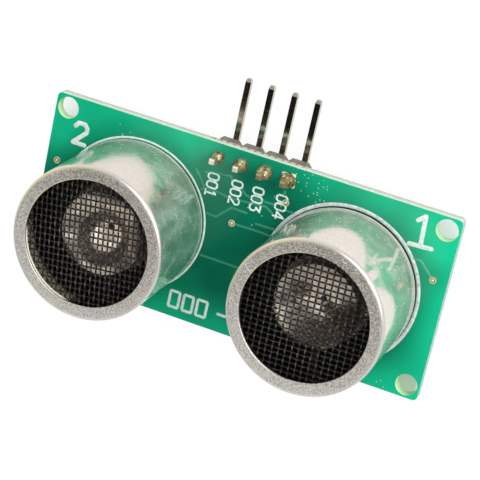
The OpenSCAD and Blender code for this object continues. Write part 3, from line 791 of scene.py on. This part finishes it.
# boxes round the chips and their leads, and the pins' numbers
def drawBackPrint(ink):
    gap, room = printMarks["outlineGap"], printMarks["leadRoom"]
    outlines = []
    for name in ("controller_chip", "amplifier_chip", "driver_chip", "crystal_base"):
        low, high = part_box(name)
        left, right, foot, head = low.x / mm - gap, high.x / mm + gap, low.y / mm - gap, high.y / mm + gap
        if name.endswith("_chip") and right - left > high.y / mm - low.y / mm:
            foot, head = foot - room, head + room
        elif name.endswith("_chip"):
            left, right = left - room, right + room
        outlines.append([(left, foot), (right, foot), (right, head), (left, head), (left, foot)])
    for number, x in enumerate(pinX):
        corner = (x + printMarks["backFigureAside"], printMarks["backFigureY"])
        outlines += writeFigures(str(number + 1), corner, printMarks["backFigureHeight"], 0, 180, flip=-1)
    back = drawStrips(outlines, [], printMarks["outlineWidth"], printMarks["rise"], backZ)
    finishPiece(back, "back_print", ink)


def drawCopper(mask):
    for name, routes, width, faceZ in (("front_tracks", "routes", "width", frontZ),
                                       ("back_tracks", "backRoutes", "backWidth", backZ)):
        tracks = drawStrips(maskedCopper[routes], [], maskedCopper[width], maskedCopper["rise"], faceZ)
        finishPiece(tracks, name, mask)


# a via: a plated rim, a dark drop in its middle that is painted shade standing for the hole, and a bead of
# solder in the drop
def modelVias(rimMetal, dropMaterial, beadMetal):
    spots = [(x * mm, y * mm, frontZ) for x, y in vias["front"]]
    spots += [(x * mm, y * mm, backZ) for x, y in vias["back"]]
    deselectAll()
    bpy.ops.mesh.primitive_torus_add(major_segments=32, minor_segments=10, major_radius=vias["radius"] * mm,
                                     minor_radius=vias["rimRadius"] * mm)
    rims = copyTo(resizeHeight(bpy.context.object, vias["rimFlatness"]), spots)
    finishPiece(rims, "via_rims", rimMetal)
    for name, shape, material, slotName in (("via_drops", vias["drop"], dropMaterial, "board"),
                                            ("via_beads", vias["bead"], beadMetal, "solder")):
        deselectAll()
        bpy.ops.mesh.primitive_uv_sphere_add(
            segments=shape["segments"], ring_count=10, radius=shape["radius"] * mm)
        beads = copyTo(resizeHeight(bpy.context.object, shape["flatness"]), spots)
        finishPiece(beads, name, material)


whiteInk = makePrintInk("screenedWhiteInk", ("#c9e4d8", "#e9f6f0"))
# the transmitter's ring takes a greyer copy of the ink: painted shade
drawFrontPrint(whiteInk, {
    "receiver": makePrintInk("greenedWhiteInk", ("#cfeadd", "#f0faf5")),
    "transmitter": makePrintInk("shadedWhiteInk", ("#bccac6", "#e6ebea"))})
drawBackPrint(whiteInk)
drawCopper(makeMaskedCopper())
modelVias(makePlainMetal("goldPlate", "#d8cf98", 0.35, 0.1, 0.01, 0.4),
          makePlainCoat("viaHoleShade", ("#33230f", "#5d4522"), 0.12, 0.1, 0.005),
          makePlainMetal("brightSolder", "#f1eee6", 0.25, 0.1, 0.01, 0.35))


print("stage: solder")

jointLook = {
    "radius": (0.68, 0.75, 0.82, 0.78),
    "height": (1.15, 1.2, 1.25, 1.1),
    "lump": (0.10, 0.10, 0.12, 0.34),
    "lumpSize": (0.5, 0.6, 0.5, 0.3),
    "skinGrain": 0.42,
    "skinDepth": 0.08,
    "skinMetal": (0.4, 0.65),
    "skinMirror": (0.2, 0.85),
    "skinRoughness": (0.45, 0.15),
    "skinAndHighlightTones": ((0.36, "#332c17"), (0.45, "#75683f"), (0.55, "#a89a6c"), (0.68, "#f6eddb")),
    "padSide": 1.5,
    "padRise": 0.1,
    "padTurn": 4,
    "padEdge": 0.09,
}


# hand-made joints: tin-lead solder under a thin brown skin of flux, lumpy, with bright high spots; their pale
# cream is partly a painted highlight
def makeFluxedSolder():
    material, tree, shader, place = startMaterial("fluxedSolder")
    lumps = addNode(tree, "TexNoise", {
        "Vector": place, "Scale": 1 / (jointLook["skinGrain"] * mm), "Detail": 4.0, "Roughness": 0.6})
    shade = addNode(tree, "ValToRGB", {0: lumps})
    tones = shade.color_ramp.elements
    for end, (position, code) in zip(tones, (jointLook["skinAndHighlightTones"][0], jointLook["skinAndHighlightTones"][-1])):
        end.position = position
        end.color = hexColour(code)
    for position, code in jointLook["skinAndHighlightTones"][1:-1]:
        tones.new(position).color = hexColour(code)
    setSockets(tree, shader, {
        "Base Color": shade,
        "Metallic": addNode(tree, "MapRange", {
            "Value": lumps, "From": jointLook["skinMetal"], "To": jointLook["skinMirror"]}),
        "Roughness": addNode(tree, "MapRange", {"Value": lumps, "To": jointLook["skinRoughness"]}),
        "Normal": addNode(tree, "Bump", {
            "Height": lumps, "Strength": 0.7, "Distance": jointLook["skinDepth"] * mm})})
    return material


# a lumpy dome of solder cut flat at the board
def modelJoint(number):
    radius, height = jointLook["radius"][number] * mm, jointLook["height"][number] * mm
    deselectAll()
    bpy.ops.mesh.primitive_uv_sphere_add(segments=56, ring_count=40, radius=radius)
    dome = resizeHeight(bpy.context.object, height / radius)
    clouds = bpy.data.textures.new(f"jointLumps{number}", "CLOUDS")
    clouds.noise_scale = jointLook["lumpSize"][number] * mm
    dome.location = (pinX[number] * mm, pinRowY * mm, frontZ)
    applyPlace(dome)
    applyModifier(dome, "DISPLACE", {
        "texture": clouds, "texture_coords": "LOCAL", "mid_level": 0.5,
        "strength": jointLook["lump"][number] * mm})
    editWhere(dome, lambda place: True)
    bpy.ops.mesh.bisect(plane_co=(0, 0, frontZ), plane_no=(0, 0, 1), clear_inner=True, use_fill=True)
    bpy.ops.object.mode_set(mode="OBJECT")
    return dome


# the last pin has a square pad, whose tinned corners stand out round its joint
def modelSquarePad():
    deselectAll()
    bpy.ops.mesh.primitive_cube_add(size=1, location=(pinX[-1] * mm, pinRowY * mm, frontZ),
                                    rotation=(0, 0, math.radians(jointLook["padTurn"])))
    pad = bpy.context.object
    pad.scale = (jointLook["padSide"] * mm, jointLook["padSide"] * mm, 2 * jointLook["padRise"] * mm)
    applyPlace(pad)
    applyModifier(pad, "BEVEL", {"width": jointLook["padEdge"] * mm, "segments": 3})
    return pad


finishPiece(modelSquarePad(), "square_pad", makePlainMetal("matteTinnedPad", "#ece3cf", 0.35, 0.2, 0.04, 0.3),
            smoothAngle=60)
joints = joinPieces([modelJoint(number) for number in range(len(pinX))])
finishPiece(joints, "front_solder_joints", makeFluxedSolder(), ["header_solder_joints"],
            smoothAngle=60)


print("stage: cans")

canLook = {
    "metal": "#dcd3ca",
    "barrelRoughness": {"receiver": 0.19, "transmitter": 0.11},
    "barrelMirror": {"receiver": (0.9, 0.7), "transmitter": (0.84, 0.6)},
    "rubSize": 1.8,
    "rubHaze": {"from": (0.35, 0.7), "to": (0.6, 1.7)},
    "rubDulling": (0.35, 0.68),
    "speckSpacing": 0.7,
    "speckSize": 0.13,
    "speckHaze": 0.3,
    "paintedGreenReflection": "#b6e5cf",
    "greenReflectionTowards": (0.92, -0.38, 0),
    "greenReflectionReach": (0.3, 0.9),
    "greenReflectionShare": {"receiver": 1.0, "transmitter": 0.1},
    "edgeFacing": (0.05, 0.3),
    "polished": "#c9c5c1",
    "polishedMirror": 0.92,
    "paintedCreamReflection": "#e2d9bb",
    "creamReflectionTowards": (-0.72, 0.70, 0),
    "creamReflectionReach": (0.55, 0.95),
    "lipFacing": (0.93, 0.99),
    "lipMottle": (0.34, 0.62),
    "lipDark": "#8f897e",
    "lipPale": "#f3f0e8",
    "lipRoughness": 0.4,
    "lipMirror": 0.6,
    "palerTowards": (-0.35, -0.94, 0),
    "palerShare": 0.08,
    "grain": 0.15,
    "grainDepth": 0.05,
    "grainStrength": (0.012, 0.6),
    "scratch": "#ffffff",
    "scratchCell": 3.2,
    "scratchWidth": 0.009,
    "scratchPatch": 2.2,
    "scratchKept": 0.64,
    "footHighlight": "#ffffff",
    "footHighlightFrom": 0.42,
    "footHighlightTo": 0.54,
    "footHighlightMirror": 0.3,
    "footHazeHeight": (1.5, 0.54),
    "footHaze": 0.3,
    "paintedInsideShade": "#2a2623",
    "wallInside": 0.45,
    "wallBelow": 0.2,
    "paintedWallLight": "#fbf5dc",
    "wallLightTurn": {"receiver": 222},
    "wallLightReach": (0.72, 0.84),
    "wallLightHeight": (8.7, 9.2),
    "shadowRingOffset": {"receiver": -0.18, "transmitter": -0.05},
    "shadowRingWidth": {"receiver": 0.08, "transmitter": 0.16},
    "shadowRingFlatness": 0.4,
}


# the lip's face is tumbled, grainy and scratched, palest on the side of the board's front edge
def lipTone(tree, place, grain, worn):
    mottled = addNode(tree, "Math", {"operation": "MULTIPLY_ADD", 0: worn, 1: canLook["palerShare"], 2: grain})
    mottled = addNode(tree, "MapRange", {"Value": mottled, "From": canLook["lipMottle"]})
    tone = addNode(tree, "Mix", {
        "data_type": "RGBA", "Factor": mottled, "A": canLook["lipDark"], "B": canLook["lipPale"]})
    # a few hairline scratches: the borders of large cells, kept only in places
    borders = addNode(tree, "TexVoronoi", {
        "feature": "DISTANCE_TO_EDGE", "Vector": place, "Scale": 1 / (canLook["scratchCell"] * mm)})
    hairline = addNode(tree, "Math", {"operation": "LESS_THAN", 0: borders, 1: canLook["scratchWidth"]})
    kept = addNode(tree, "TexNoise", {
        "Vector": place, "Scale": 1 / (canLook["scratchPatch"] * mm), "Detail": 1.0})
    kept = addNode(tree, "Math", {"operation": "GREATER_THAN", 0: kept, 1: canLook["scratchKept"]})
    hairline = addNode(tree, "Math", {"operation": "MULTIPLY", 0: hairline, 1: kept})
    return addNode(tree, "Mix", {"data_type": "RGBA", "Factor": hairline, "A": tone, "B": canLook["scratch"]})


# where a pale lit patch is painted on the inner wall, behind the screen: painted light
def wallLightShare(tree, side, fromAxis, height, inner):
    turn = math.radians(canLook["wallLightTurn"][side])
    outward = addNode(tree, "VectorMath", {"operation": "NORMALIZE", 0: fromAxis})
    outward = addNode(tree, "VectorMath", {
        "operation": "DOT_PRODUCT", 0: outward, 1: (math.cos(turn), math.sin(turn), 0)})
    wallLight = addNode(tree, "MapRange", {
        "interpolation_type": "SMOOTHSTEP", "Value": outward, "From": canLook["wallLightReach"]})
    above = addNode(tree, "MapRange", {
        "interpolation_type": "SMOOTHSTEP", "Value": height, "From": toMetres(canLook["wallLightHeight"])})
    for limit in (above, inner):
        wallLight = addNode(tree, "Math", {"operation": "MULTIPLY", 0: wallLight, 1: limit})
    return wallLight


# just above the foot a fine white line is painted, a painted highlight, and the barrel above it is hazed by
# the crimping
def footMarks(tree, height):
    overFoot = addNode(tree, "Math", {"operation": "SUBTRACT", 0: height, 1: frontZ})
    haze = addNode(tree, "MapRange", {
        "Value": overFoot, "From": toMetres(canLook["footHazeHeight"]), "To Max": canLook["footHaze"]})
    line = [addNode(tree, "Math", {"operation": kind, 0: overFoot, 1: canLook[limit] * mm})
            for kind, limit in (("GREATER_THAN", "footHighlightFrom"), ("LESS_THAN", "footHighlightTo"))]
    return haze, addNode(tree, "Math", {"operation": "MULTIPLY", 0: line[0], 1: line[1]})


# specks and fine rubs haze the barrel: how rough and how metallic it is
def barrelHaze(tree, place, side):
    cells = addNode(tree, "TexVoronoi", {"Vector": place, "Scale": 1 / (canLook["speckSpacing"] * mm)})
    speck = addNode(tree, "Math", {
        "operation": "LESS_THAN", 0: cells.outputs["Distance"], 1: canLook["speckSize"]})
    rubs = addNode(tree, "TexNoise", {
        "Vector": place, "Scale": 1 / (canLook["rubSize"] * mm), "Detail": 5.0, "Roughness": 0.65})
    rough = addNode(tree, "MapRange", {
        "Value": rubs, "From": canLook["rubHaze"]["from"],
        "To": [canLook["barrelRoughness"][side] * share for share in canLook["rubHaze"]["to"]]})
    mirror = addNode(tree, "MapRange", {
        "Value": rubs, "From": canLook["rubDulling"], "To": canLook["barrelMirror"][side]})
    haze = canLook["speckHaze"]
    return [addNode(tree, "Math", {"operation": "MULTIPLY_ADD", 0: speck, 1: change, 2: level})
            for change, level in ((haze, rough), (-haze, mirror))]


# drawn aluminium: the barrel is a satin mirror with a haze of fine rubs and specks, its edges are polished
def makeCanAluminium(side, centre):
    material, tree, shader, place = startMaterial("drawnAluminium" + side.capitalize())
    height = addNode(tree, "SeparateXYZ", {0: place}).outputs["Z"]
    facing = addNode(tree, "SeparateXYZ", {0: addNode(tree, "TexCoord").outputs["Normal"]}).outputs["Z"]
    lip = addNode(tree, "MapRange", {
        "interpolation_type": "SMOOTHSTEP", "Value": facing, "From": canLook["lipFacing"]})
    edge = addNode(tree, "MapRange", {"Value": facing, "From": canLook["edgeFacing"]})
    fromAxis = addNode(tree, "VectorMath", {"operation": "SUBTRACT", 0: place, 1: (centre.x, centre.y, 0)})
    fromAxis = addNode(tree, "VectorMath", {"operation": "MULTIPLY", 0: fromAxis, 1: (1, 1, 0)})
    worn, paintedGreenReflection, creamReflection = [
        addNode(tree, "VectorMath", {
            "operation": "DOT_PRODUCT", 0: fromAxis, 1: [value / canRadius for value in canLook[towards]]})
        for towards in ("palerTowards", "greenReflectionTowards", "creamReflectionTowards")]
    # painted reflection: the barrel is a little greener and paler on one side, where it mirrors the board
    paintedGreenReflection = addNode(tree, "MapRange", {
        "Value": paintedGreenReflection, "From": canLook["greenReflectionReach"], "To Max": canLook["greenReflectionShare"][side]})
    # painted reflection: the polished edge is tinted cream on one side
    creamReflection = addNode(tree, "MapRange", {"Value": creamReflection, "From": canLook["creamReflectionReach"]})
    creamReflection = addNode(tree, "Math", {"operation": "MULTIPLY", 0: creamReflection, 1: edge})
    # inside the can the metal is only as drawn, and painted dark: painted shade inside the can
    inner = addNode(tree, "Math", {
        "operation": "LESS_THAN", 0: addNode(tree, "VectorMath", {"operation": "LENGTH", 0: fromAxis}),
        1: canRadius - canLook["wallInside"] * mm})
    below = addNode(tree, "Math", {
        "operation": "LESS_THAN", 0: height, 1: canTop - canLook["wallBelow"] * mm})
    inner = addNode(tree, "Math", {"operation": "MULTIPLY", 0: inner, 1: below})
    grain = addNode(tree, "TexNoise", {
        "Vector": place, "Scale": 1 / (canLook["grain"] * mm), "Detail": 3.0, "Roughness": 0.7})
    # line: the painted highlight just above the foot
    haze, line = footMarks(tree, height)
    tones = [(paintedGreenReflection, canLook["paintedGreenReflection"]), (edge, canLook["polished"]), (creamReflection, canLook["paintedCreamReflection"]),
             (lip, lipTone(tree, place, grain, worn)), (inner, canLook["paintedInsideShade"]),
             (line, canLook["footHighlight"])]
    rough, mirror = barrelHaze(tree, place, side)
    rough = addNode(tree, "Mix", {"Factor": lip, "A": rough, "B": canLook["lipRoughness"]})
    mirrors = [(line, canLook["footHighlightMirror"]), (edge, canLook["polishedMirror"]),
               (lip, canLook["lipMirror"])]
    # painted light: a pale, unmirrored patch on the receiver's inner wall
    if side in canLook["wallLightTurn"]:
        wallLight = wallLightShare(tree, side, fromAxis, height, inner)
        tones.append((wallLight, canLook["paintedWallLight"]))
        mirrors.append((wallLight, 0.0))
    colour = canLook["metal"]
    for share, tone in tones:
        colour = addNode(tree, "Mix", {"data_type": "RGBA", "Factor": share, "A": colour, "B": tone})
    for share, level in mirrors:
        mirror = addNode(tree, "Mix", {"Factor": share, "A": mirror, "B": level})
    setSockets(tree, shader, {
        "Base Color": colour,
        "Metallic": mirror,
        "Roughness": addNode(tree, "Math", {"operation": "ADD", 0: haze, 1: rough}),
        "Normal": addNode(tree, "Bump", {
            "Height": grain, "Distance": canLook["grainDepth"] * mm,
            "Strength": addNode(tree, "MapRange", {"Value": lip, "To": canLook["grainStrength"]})})})
    return material


# a thin black ring that shows where a can's foot meets the board: painted shade of the gap under the foot
def modelFootShadowRing(side):
    deselectAll()
    bpy.ops.mesh.primitive_torus_add(
        major_segments=128, minor_segments=10, minor_radius=canLook["shadowRingWidth"][side] / 2 * mm,
        major_radius=canRadius + canLook["shadowRingOffset"][side] * mm)
    shadowRing = resizeHeight(bpy.context.object, canLook["shadowRingFlatness"])
    shadowRing.location = (transducers[side].x, transducers[side].y, frontZ)
    return shadowRing


footShadowBlack = makePlainCoat("paintedFootShadow", ("#0a0a09", "#1b1917"), 0.6, 0.2, 0.01)
for side, centre in transducers.items():
    dressNodes(makeCanAluminium(side, centre), side + "_can")
    finishPiece(modelFootShadowRing(side), side + "_foot_shadow_ring", footShadowBlack)


print("stage: woven screens")

weave = {
    "receiver": {"turn": 7, "pitchX": 0.52, "pitchY": 0.63},
    "transmitter": {"turn": 2, "pitchX": 0.66, "pitchY": 0.56},
    "reach": 7.1,
    "rimRadius": 7.2,
    "rimWidth": 0.5,
    "sides": 6,
    "stepsPerCrossing": 4,
    "waveShares": (1, math.sqrt(0.5), -math.sqrt(0.5), -1),
    "liftAcross": 0.65,
    "liftAlong": 1.25,
    "flattened": 1.35,
    "black": ("#080707", "#151311"),
    "mottle": 0.4,
    "crestHighlight": "#4a453f",
    "crestHighlightDepth": (1.25, 0.65),
}


# half of a weave: equal wavy wires along X at one spacing, each passing over and under at the other
def modelWireSet(crossing, spacing, radius, lift):
    crossings = 2 * math.ceil(weave["reach"] * mm / crossing) + 4
    rows = 2 * math.ceil(weave["reach"] * mm / spacing / 2) + 2
    length = crossings * crossing
    deselectAll()
    bpy.ops.mesh.primitive_cylinder_add(vertices=weave["sides"], radius=radius, depth=length,
                                        rotation=(0, math.radians(90), 0))
    wire = bpy.context.object
    applyPlace(wire)
    wire.scale.y = weave["flattened"]
    applyPlace(wire)
    bpy.ops.object.mode_set(mode="EDIT")
    bpy.ops.mesh.select_mode(type="EDGE")
    bpy.ops.mesh.select_all(action="DESELECT")
    bpy.ops.object.mode_set(mode="OBJECT")
    ends = [vertex.co.x for vertex in wire.data.vertices]
    for edge in wire.data.edges:
        edge.select = abs(ends[edge.vertices[0]] - ends[edge.vertices[1]]) > length / 2
    bpy.ops.object.mode_set(mode="EDIT")
    bpy.ops.mesh.subdivide(number_cuts=crossings * weave["stepsPerCrossing"] - 1)
    bpy.ops.object.mode_set(mode="OBJECT")
    for share in weave["waveShares"]:
        editWhere(wire, lambda place: abs(math.cos(math.pi * place.x / crossing) - share) < 0.1)
        bpy.ops.transform.translate(value=(0, 0, lift * radius * share))
        bpy.ops.object.mode_set(mode="OBJECT")
    for count, offset in ((2, (crossing, spacing, 0)), (rows, (0, 2 * spacing, 0))):
        applyModifier(wire, "ARRAY", {
            "count": count, "use_relative_offset": False, "use_constant_offset": True,
            "constant_offset_displace": offset})
    wire.location = (0, -rows * spacing, 0)
    applyPlace(wire)
    return wire


def clipToDisc(wires, reach):
    deselectAll()
    bpy.ops.mesh.primitive_cylinder_add(vertices=128, radius=reach, depth=2 * mm)
    disc = bpy.context.object
    applyModifier(wires, "BOOLEAN", {"operation": "INTERSECT", "solver": "MANIFOLD", "object": disc})
    selectOnly(disc)
    bpy.ops.object.delete()
    return wires


def modelScreen(side, material):
    low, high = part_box(side + "_screen")
    radius = (high.z - low.z) / 4
    pitchX, pitchY = weave[side]["pitchX"] * mm, weave[side]["pitchY"] * mm
    alongX = modelWireSet(pitchX, pitchY, radius, weave["liftAcross"])
    alongY = modelWireSet(pitchY, pitchX, radius, -weave["liftAlong"])
    alongY.rotation_euler.z = math.radians(90)
    applyPlace(alongY)
    wires = [clipToDisc(half, weave["reach"] * mm) for half in (alongX, alongY)]
    deselectAll()
    bpy.ops.mesh.primitive_torus_add(
        major_segments=96, minor_segments=10, major_radius=weave["rimRadius"] * mm,
        minor_radius=weave["rimWidth"] / 2 * mm)
    rim = resizeHeight(bpy.context.object, 4 * radius / (weave["rimWidth"] * mm))
    screen = joinPieces(wires + [rim])
    screen.rotation_euler.z = math.radians(weave[side]["turn"])
    screen.location = (transducers[side].x, transducers[side].y, (low.z + high.z) / 2)
    finishPiece(screen, side + "_woven_screen", material, [side + "_screen"], smoothAngle=50)


# woven steel wire with a baked black finish, and a painted grey highlight on the highest crests
def makeBlackWire():
    material, tree, shader, place = startMaterial("bakedBlackWire", {"Metallic": 0.3, "Roughness": 0.45})
    mottled = addNode(tree, "TexNoise", {"Vector": place, "Scale": 1 / (weave["mottle"] * mm), "Detail": 3.0})
    shade = addNode(tree, "Mix", {
        "data_type": "RGBA", "Factor": mottled, "A": weave["black"][0], "B": weave["black"][1]})
    low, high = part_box("receiver_screen")
    radius = (high.z - low.z) / 4
    crest = (low.z + high.z) / 2 + (1 + weave["liftAlong"]) * radius
    crestHighlight = addNode(tree, "MapRange", {
        "Value": addNode(tree, "SeparateXYZ", {0: place}).outputs["Z"],
        "From": [crest - depth * radius for depth in weave["crestHighlightDepth"]]})
    setSockets(tree, shader, {"Base Color": addNode(tree, "Mix", {
        "data_type": "RGBA", "Factor": crestHighlight, "A": shade, "B": weave["crestHighlight"]})})
    return material


blackWire = makeBlackWire()
for side in transducers:
    modelScreen(side, blackWire)


print("stage: inside the cans")

coneLook = {
    "bright": "#fcf1df",
    "paintedShade": "#2f2219",
    "mirror": 0.5,
    "ringMiddle": {"receiver": (-0.1, -0.9), "transmitter": (0, 0)},
    "ringInner": (1.3, 1.7),
    "ringOuter": (3.0, 2.6),
    "ringShare": {"receiver": 0.93, "transmitter": 0.15},
    # soft round patches of painted shade: X, Y and reach in mm from the can's axis, and how dark they are in
    # the middle
    "shadePatchCore": 0.4,
    "shadePatches": {
        "receiver": [(2.6, -2.2, 1.8, 0.8), (4.2, 0.8, 3.0, 0.8), (0.3, 5.2, 3.2, 0.8),
                     (-2.7, -2.8, 1.9, 0.8), (0.2, -1.6, 1.7, 0.3), (-0.9, 0.4, 1.0, 0.5),
                     (1.6, 1.9, 1.6, 0.55), (-3.1, -0.2, 1.6, 0.6), (-0.6, 1.9, 1.0, 0.5)],
        "transmitter": [(4.0, -0.2, 3.0, 0.98), (2.4, -0.9, 2.0, 0.98), (0.9, -0.7, 1.2, 0.96),
                        (4.3, -2.0, 3.0, 0.95), (-2.2, 0.8, 1.6, 0.8), (-1.6, -2.0, 2.0, 0.8),
                        (-3.0, -0.4, 1.3, 0.7), (-0.3, -3.4, 3.0, 0.92), (1.6, -2.4, 2.2, 0.92),
                        (-0.1, 0.4, 1.9, 0.5)],
    },
    "toolRings": 0.9,
    "toolWander": 1.2,
    "roughness": (0.2, 0.42),
    "grain": 0.25,
    "grainDepth": 0.03,
}


# spun aluminium: bright and satin, with faint rings from the spinning tool; a dark ring halfway up and
# dark patches are painted shade and painted dark reflections
def makeConeAluminium(side, centre):
    material, tree, shader, place = startMaterial("spunAluminium" + side.capitalize(), {
        "Metallic": coneLook["mirror"]})
    ringX, ringY = coneLook["ringMiddle"][side]
    reach = reachFrom(tree, place, (centre.x + ringX * mm, centre.y + ringY * mm))
    outside = addNode(tree, "MapRange", {
        "interpolation_type": "SMOOTHSTEP", "Value": reach, "From": toMetres(coneLook["ringInner"])})
    within = addNode(tree, "MapRange", {
        "interpolation_type": "SMOOTHSTEP", "Value": reach, "From": toMetres(coneLook["ringOuter"]),
        "To Max": coneLook["ringShare"][side]})
    paintedShade = addNode(tree, "Math", {"operation": "MULTIPLY", 0: outside, 1: within})
    for shadePatch in coneLook["shadePatches"][side]:
        shadePatch = spotShare(tree, place, shadePatch, centre, coneLook["shadePatchCore"])
        paintedShade = addNode(tree, "Math", {"operation": "MAXIMUM", 0: paintedShade, 1: shadePatch})
    around = addNode(tree, "Mapping", {"Vector": place, "Location": (-centre.x, -centre.y, 0)})
    rings = addNode(tree, "TexWave", {
        "wave_type": "RINGS", "rings_direction": "Z", "Vector": around,
        "Scale": 1 / (coneLook["toolRings"] * mm), "Distortion": coneLook["toolWander"],
        "Detail": 2.0})
    grain = addNode(tree, "TexNoise", {"Vector": place, "Scale": 1 / (coneLook["grain"] * mm), "Detail": 3.0})
    height = addNode(tree, "Math", {"operation": "ADD", 0: rings.outputs["Fac"], 1: grain})
    setSockets(tree, shader, {
        "Base Color": addNode(tree, "Mix", {
            "data_type": "RGBA", "Factor": paintedShade, "A": coneLook["bright"], "B": coneLook["paintedShade"]}),
        "Roughness": addNode(tree, "MapRange", {"Value": grain, "To": coneLook["roughness"]}),
        "Normal": addNode(tree, "Bump", {
            "Height": height, "Strength": 0.3, "Distance": coneLook["grainDepth"] * mm})})
    return material


plateLook = {"bronze": "#8f7d6b", "plateHoleShade": "#14110e", "dropEdge": (0.7, 1.0)}


# bronze vibrator plate, darkened by painted shade, with a dark spot in its middle, under the cone's hole,
# that is painted shade of the hole
def makePlateBronze(side, centre):
    material, tree, shader, place = startMaterial("darkenedBronze" + side.capitalize(), {
        "Roughness": 0.6, "Metallic": 0.2})
    bare = addNode(tree, "MapRange", {
        "Value": reachFrom(tree, place, centre), "From": toMetres(plateLook["dropEdge"])})
    setSockets(tree, shader, {"Base Color": addNode(tree, "Mix", {
        "data_type": "RGBA", "Factor": bare, "A": plateLook["plateHoleShade"], "B": plateLook["bronze"]})})
    return material


for side, centre in transducers.items():
    dressNodes(makeConeAluminium(side, centre), side + "_cone")
    dressNodes(makePlateBronze(side, centre), side + "_vibrator_plate")


def dressBoth(material, *names):
    dressNodes(material, *[side + "_" + name for side in transducers for name in names])


# fired ceramic disc, milky silicone, black moulded base, tinned brass terminals, sleeved wires and solder
dressBoth(makePlainCoat("firedPiezoCeramic", ("#b9b2a0", "#d6d0c0"), 0.7, 0.1, 0.01), "piezo_disc")
dressBoth(makePlainCoat("milkySilicone", ("#bdb8ac", "#d8d4ca"), 0.45, 0.5, 0.01), "silicone_ring")
dressBoth(makePlainCoat("mouldedBasePlastic", ("#0c0b0b", "#191817"), 0.6, 0.12, 0.01), "base")
dressBoth(makePlainMetal("tarnishedTinnedBrass", "#7d776a", 0.35, 0.15, 0.01),
          "signal_terminal", "case_terminal")
dressBoth(makePlainCoat("redWireSleeve", ("#7e1c14", "#96281c"), 0.35, 0.2, 0.005), "signal_wire")
dressBoth(makePlainCoat("blackWireSleeve", ("#060606", "#0f0e0e"), 0.7, 0.2, 0.005), "case_wire")
dressBoth(makePlainMetal("clearedSolder", "#bdb8ab", 0.28, 0.3, 0.02), "solder_joints")


print("stage: header")

pinLook = {
    "tin": ("#a8a18c", "#d8d3c4"),
    "spotSize": 0.5,
    "spotDepth": 0.02,
    "dipped": "#8d8159",
    "dippedHeight": (0.3, 0.8),
    "bareEnd": "#e0d5cb",
    "bareHeight": (1.8, 1.95),
    "mirror": (1.0, 0.25),
    "roughness": (0.06, 0.2),
}


# bright tin over brass: flat rolled faces that mirror like glass, silvery where the ends are cut
def makePinTin():
    material, tree, shader, place = startMaterial("brightTin")
    spots = addNode(tree, "TexNoise", {
        "Vector": place, "Scale": 1 / (pinLook["spotSize"] * mm), "Detail": 3.0})
    tin = addNode(tree, "Mix", {
        "data_type": "RGBA", "Factor": spots, "A": pinLook["tin"][0], "B": pinLook["tin"][1]})
    # in front of the board the pins are dipped in solder and browned by flux, but for two pale ends
    spot = addNode(tree, "SeparateXYZ", {0: place}).outputs
    dipped, bare = [
        addNode(tree, "MapRange", {
            "Value": spot["Z"], "From": [frontZ + height * mm for height in pinLook[part]]})
        for part in ("dippedHeight", "bareHeight")]
    browned = addNode(tree, "Math", {"operation": "GREATER_THAN", 0: spot["X"], 1: 0})
    pale = addNode(tree, "Math", {"operation": "SUBTRACT", "use_clamp": True, 0: bare, 1: browned})
    dip = addNode(tree, "Mix", {
        "data_type": "RGBA", "Factor": pale, "A": pinLook["dipped"], "B": pinLook["bareEnd"]})
    setSockets(tree, shader, {
        "Base Color": addNode(tree, "Mix", {"data_type": "RGBA", "Factor": dipped, "A": tin, "B": dip}),
        "Metallic": addNode(tree, "MapRange", {"Value": dipped, "To": pinLook["mirror"]}),
        "Roughness": addNode(tree, "MapRange", {"Value": spots, "To": pinLook["roughness"]}),
        "Normal": addNode(tree, "Bump", {
            "Height": spots, "Strength": 0.15, "Distance": pinLook["spotDepth"] * mm})})
    return material


dressNodes(makePinTin(), *[f"header_pin_{i}" for i in (1, 2, 3, 4)])
# the header's black plastic is lightened to grey-brown: partly dust, partly painted light
dressNodes(makePlainCoat("mouldedHeaderPlastic", ("#1d1915", "#8b8070"), 0.5, 0.45, 0.08), "header_body")


print("stage: parts on the back")

chips = ["controller_chip", "amplifier_chip", "driver_chip", "transistor"]
dressNodes(makePlainCoat("mouldedEpoxy", ("#1b1b1b", "#2a2a29"), 0.6, 0.08, 0.01), *chips)
dressNodes(makePlainMetal("matteTin", "#bab7ae", 0.35, 0.1, 0.01),
           *[chip + "_leads" for chip in chips], "chip_resistor_ends", "chip_capacitor_ends")
dressNodes(makePlainCoat("firedDarkCeramic", ("#3f352b", "#564a3d"), 0.7, 0.1, 0.01), "crystal_base")
dressNodes(makePlainMetal("nickelPlate", "#c4bfb3", 0.22, 0.3, 0.01), "crystal_lid")
dressNodes(makePlainCoat("glazedResistorTop", ("#14161a", "#24262b"), 0.25, 0.2, 0.005), "chip_resistors")
dressNodes(makePlainCoat("firedTanCeramic", ("#94744a", "#b08e62"), 0.5, 0.1, 0.005), "chip_capacitors")


print("stage: finish")
